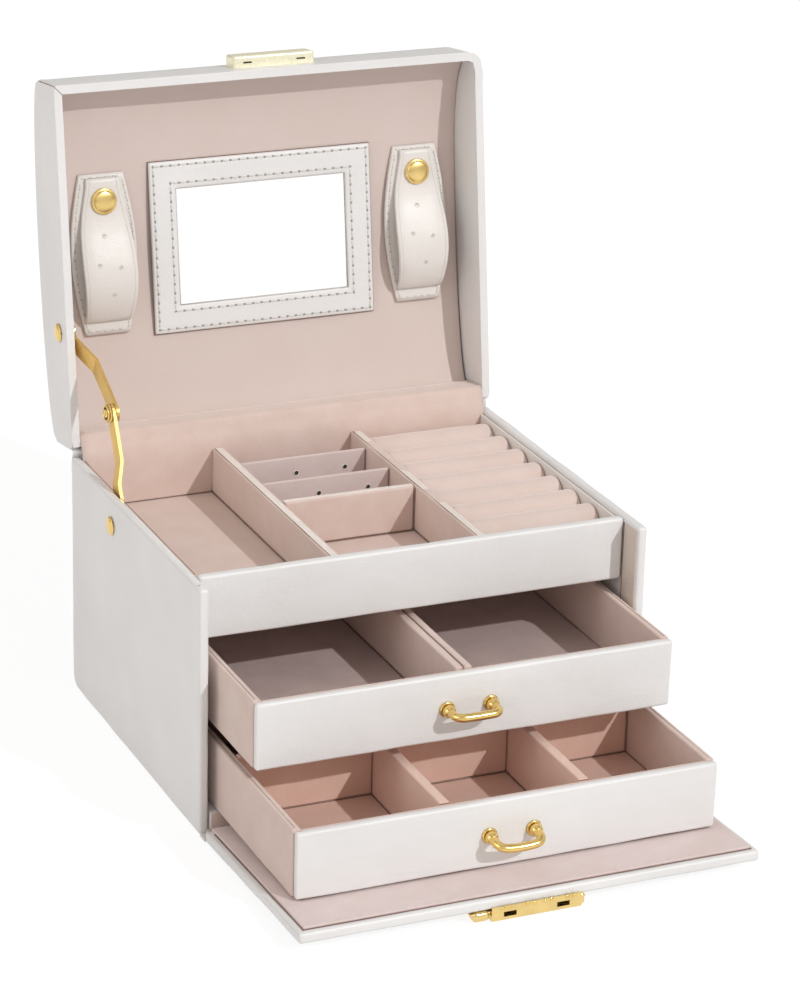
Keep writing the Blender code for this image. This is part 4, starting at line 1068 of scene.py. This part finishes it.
# The stage
def build_camera():
    """The photograph's camera."""
    side, ahead, flat = sin(CAMERA_AZIMUTH), cos(CAMERA_AZIMUTH), cos(CAMERA_ELEVATION)
    forward = Vector((side * flat, ahead * flat, -sin(CAMERA_ELEVATION)))
    level = Vector((ahead, -side, 0.0))
    upright = level.cross(forward)
    right = level * cos(CAMERA_ROLL) + upright * sin(CAMERA_ROLL)
    up = upright * cos(CAMERA_ROLL) - level * sin(CAMERA_ROLL)
    eye = CAMERA_TARGET + right * CAMERA_ACROSS + up * CAMERA_UP - forward * CAMERA_DISTANCE
    data = bpy.data.cameras.new("camera")
    data.sensor_width = 36.0
    data.lens = FOCAL_PIXELS * data.sensor_width / IMAGE_HEIGHT
    data.clip_start, data.clip_end = 0.05, 20.0
    camera = add_object("camera", data)
    turn = Matrix((right, up, -forward)).transposed()
    camera.matrix_world = Matrix.Translation(eye) @ turn.to_4x4()
    bpy.context.scene.camera = camera


def seen_rays(tree):
    """1 for camera, glossy and transmission rays, and 0 for light on the object."""
    path = add_node(tree, "LightPath").outputs
    total = path["Is Camera Ray"]
    for name in ("Is Glossy Ray", "Is Transmission Ray"):
        inputs = {0: total, 1: path[name]}
        total = add_node(tree, "Math", inputs, operation="MAXIMUM").outputs["Value"]
    return total


def mix_colours(tree, factor, first, second):
    """One colour, another, or a mix of both, by a factor."""
    node = add_node(tree, "Mix", {"Factor": factor, 6: first, 7: second}, data_type="RGBA")
    return node.outputs[2]


def studio_sky(tree):
    """White to everything but glossy rays, which see a brighter top and a darker horizon."""
    place = add_node(tree, "TexCoord").outputs["Generated"]
    split = add_node(tree, "SeparateXYZ", {0: place})
    ramp = add_node(tree, "ValToRGB", {0: split.outputs["Z"]})
    greys = set_ramp(ramp, [(height, (grey, grey, grey)) for height, grey in SKY_GREYS])
    glossy = add_node(tree, "LightPath").outputs["Is Glossy Ray"]
    return mix_colours(tree, glossy, (1.0, 1.0, 1.0, 1.0), greys)


def build_world():
    """A white surround that gives the object a weaker, warmer fill."""
    world = bpy.data.worlds.new("studio")
    bpy.context.scene.world = world
    world.use_nodes = True
    tree = world.node_tree
    background = tree.nodes["Background"]
    seen = seen_rays(tree)
    tree.links.new(mix_colours(tree, seen, FILL_TINT, studio_sky(tree)), background.inputs["Color"])
    level = add_node(tree, "MapRange", {"Value": seen, "To Min": FILL, "To Max": 1.0})
    tree.links.new(level.outputs["Result"], background.inputs["Strength"])


def build_floor():
    """A floor that looks white with faint shadows and gives the object a plain bounce."""
    floor = add_object("floor", bpy.data.meshes.new("floor"))
    floor.data.from_pydata([(-6, -6, 0), (6, -6, 0), (6, 6, 0), (-6, 6, 0)], [], [(0, 1, 2, 3)])
    material = bpy.data.materials.new("floor")
    material.use_nodes = True
    tree = material.node_tree
    tree.nodes.remove(tree.nodes["Principled BSDF"])
    bounce = add_node(tree, "BsdfDiffuse", {"Color": (0.8, 0.8, 0.8, 1.0)}).outputs[0]
    shaded = add_node(tree, "BsdfDiffuse", {"Color": (0.2, 0.2, 0.2, 1.0)}).outputs[0]
    glow = add_node(tree, "Emission", {"Strength": 0.86}).outputs[0]
    shown = add_node(tree, "AddShader", {0: shaded, 1: glow}).outputs[0]
    look = add_node(tree, "MixShader", {0: seen_rays(tree), 1: bounce, 2: shown}).outputs[0]
    tree.links.new(look, tree.nodes["Material Output"].inputs["Surface"])
    floor.data.materials.append(material)


def build_stage():
    bpy.context.scene.view_settings.view_transform = "Standard"
    build_world()
    build_floor()
    sun("key", (0.485, -1.0, 0.79), 1.48, 1.2, (0.97, 0.99, 1.0))
    sun("front_fill", (0.1, -1.0, 0.12), 0.16, 60.0, (1.0, 0.84, 0.78))
    sun("left_fill", (-0.9, -0.18, 0.42), 0.55, 50.0, (1.0, 0.97, 0.95))


def sun(name, towards, strength, spread, colour):
    light = bpy.data.lights.new(name, "SUN")
    light.energy = strength
    light.color = colour
    light.angle = radians(spread)
    add_object(name, light).matrix_world = Vector(towards).to_track_quat("Z", "Y").to_matrix().to_4x4()


def build_elbow():
    """Two raised rings on the stay's elbow rivet, and in the groove between them a dark ring of painted
    shade.
    """
    low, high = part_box("elbow_rivet")
    centre = Vector((low.x - 0.0001, (low.y + high.y) / 2, (low.z + high.z) / 2))
    side = Vector((-1.0, 0.0, 0.0))
    wires = ((0.003, 0.0004), (0.0012, 0.0005))
    rings = [tube(ring_path(centre, side, radius, 24), wire, 8, True) for radius, wire in wires]
    piece("elbow_rivet_rings", joined(*rings), GOLD, "stay_lower")
    groove = tube(ring_path(centre, side, 0.0021, 24), 0.00022, 6, True)
    piece("elbow_rivet_groove", groove, DEEP_SHADE, "stay_lower")


def dress_metal():
    """The materials of the CAD's own solids that stay in sight."""
    for material, nodes in BARE.items():
        for node in nodes:
            mesh = frame["nodes"][node].data
            mesh.materials.clear()
            mesh.materials.append(material)


build_camera()
build_stage()
dress_metal()
build_elbow()
build_body()
build_lid()
build_flap()
build_drawers()
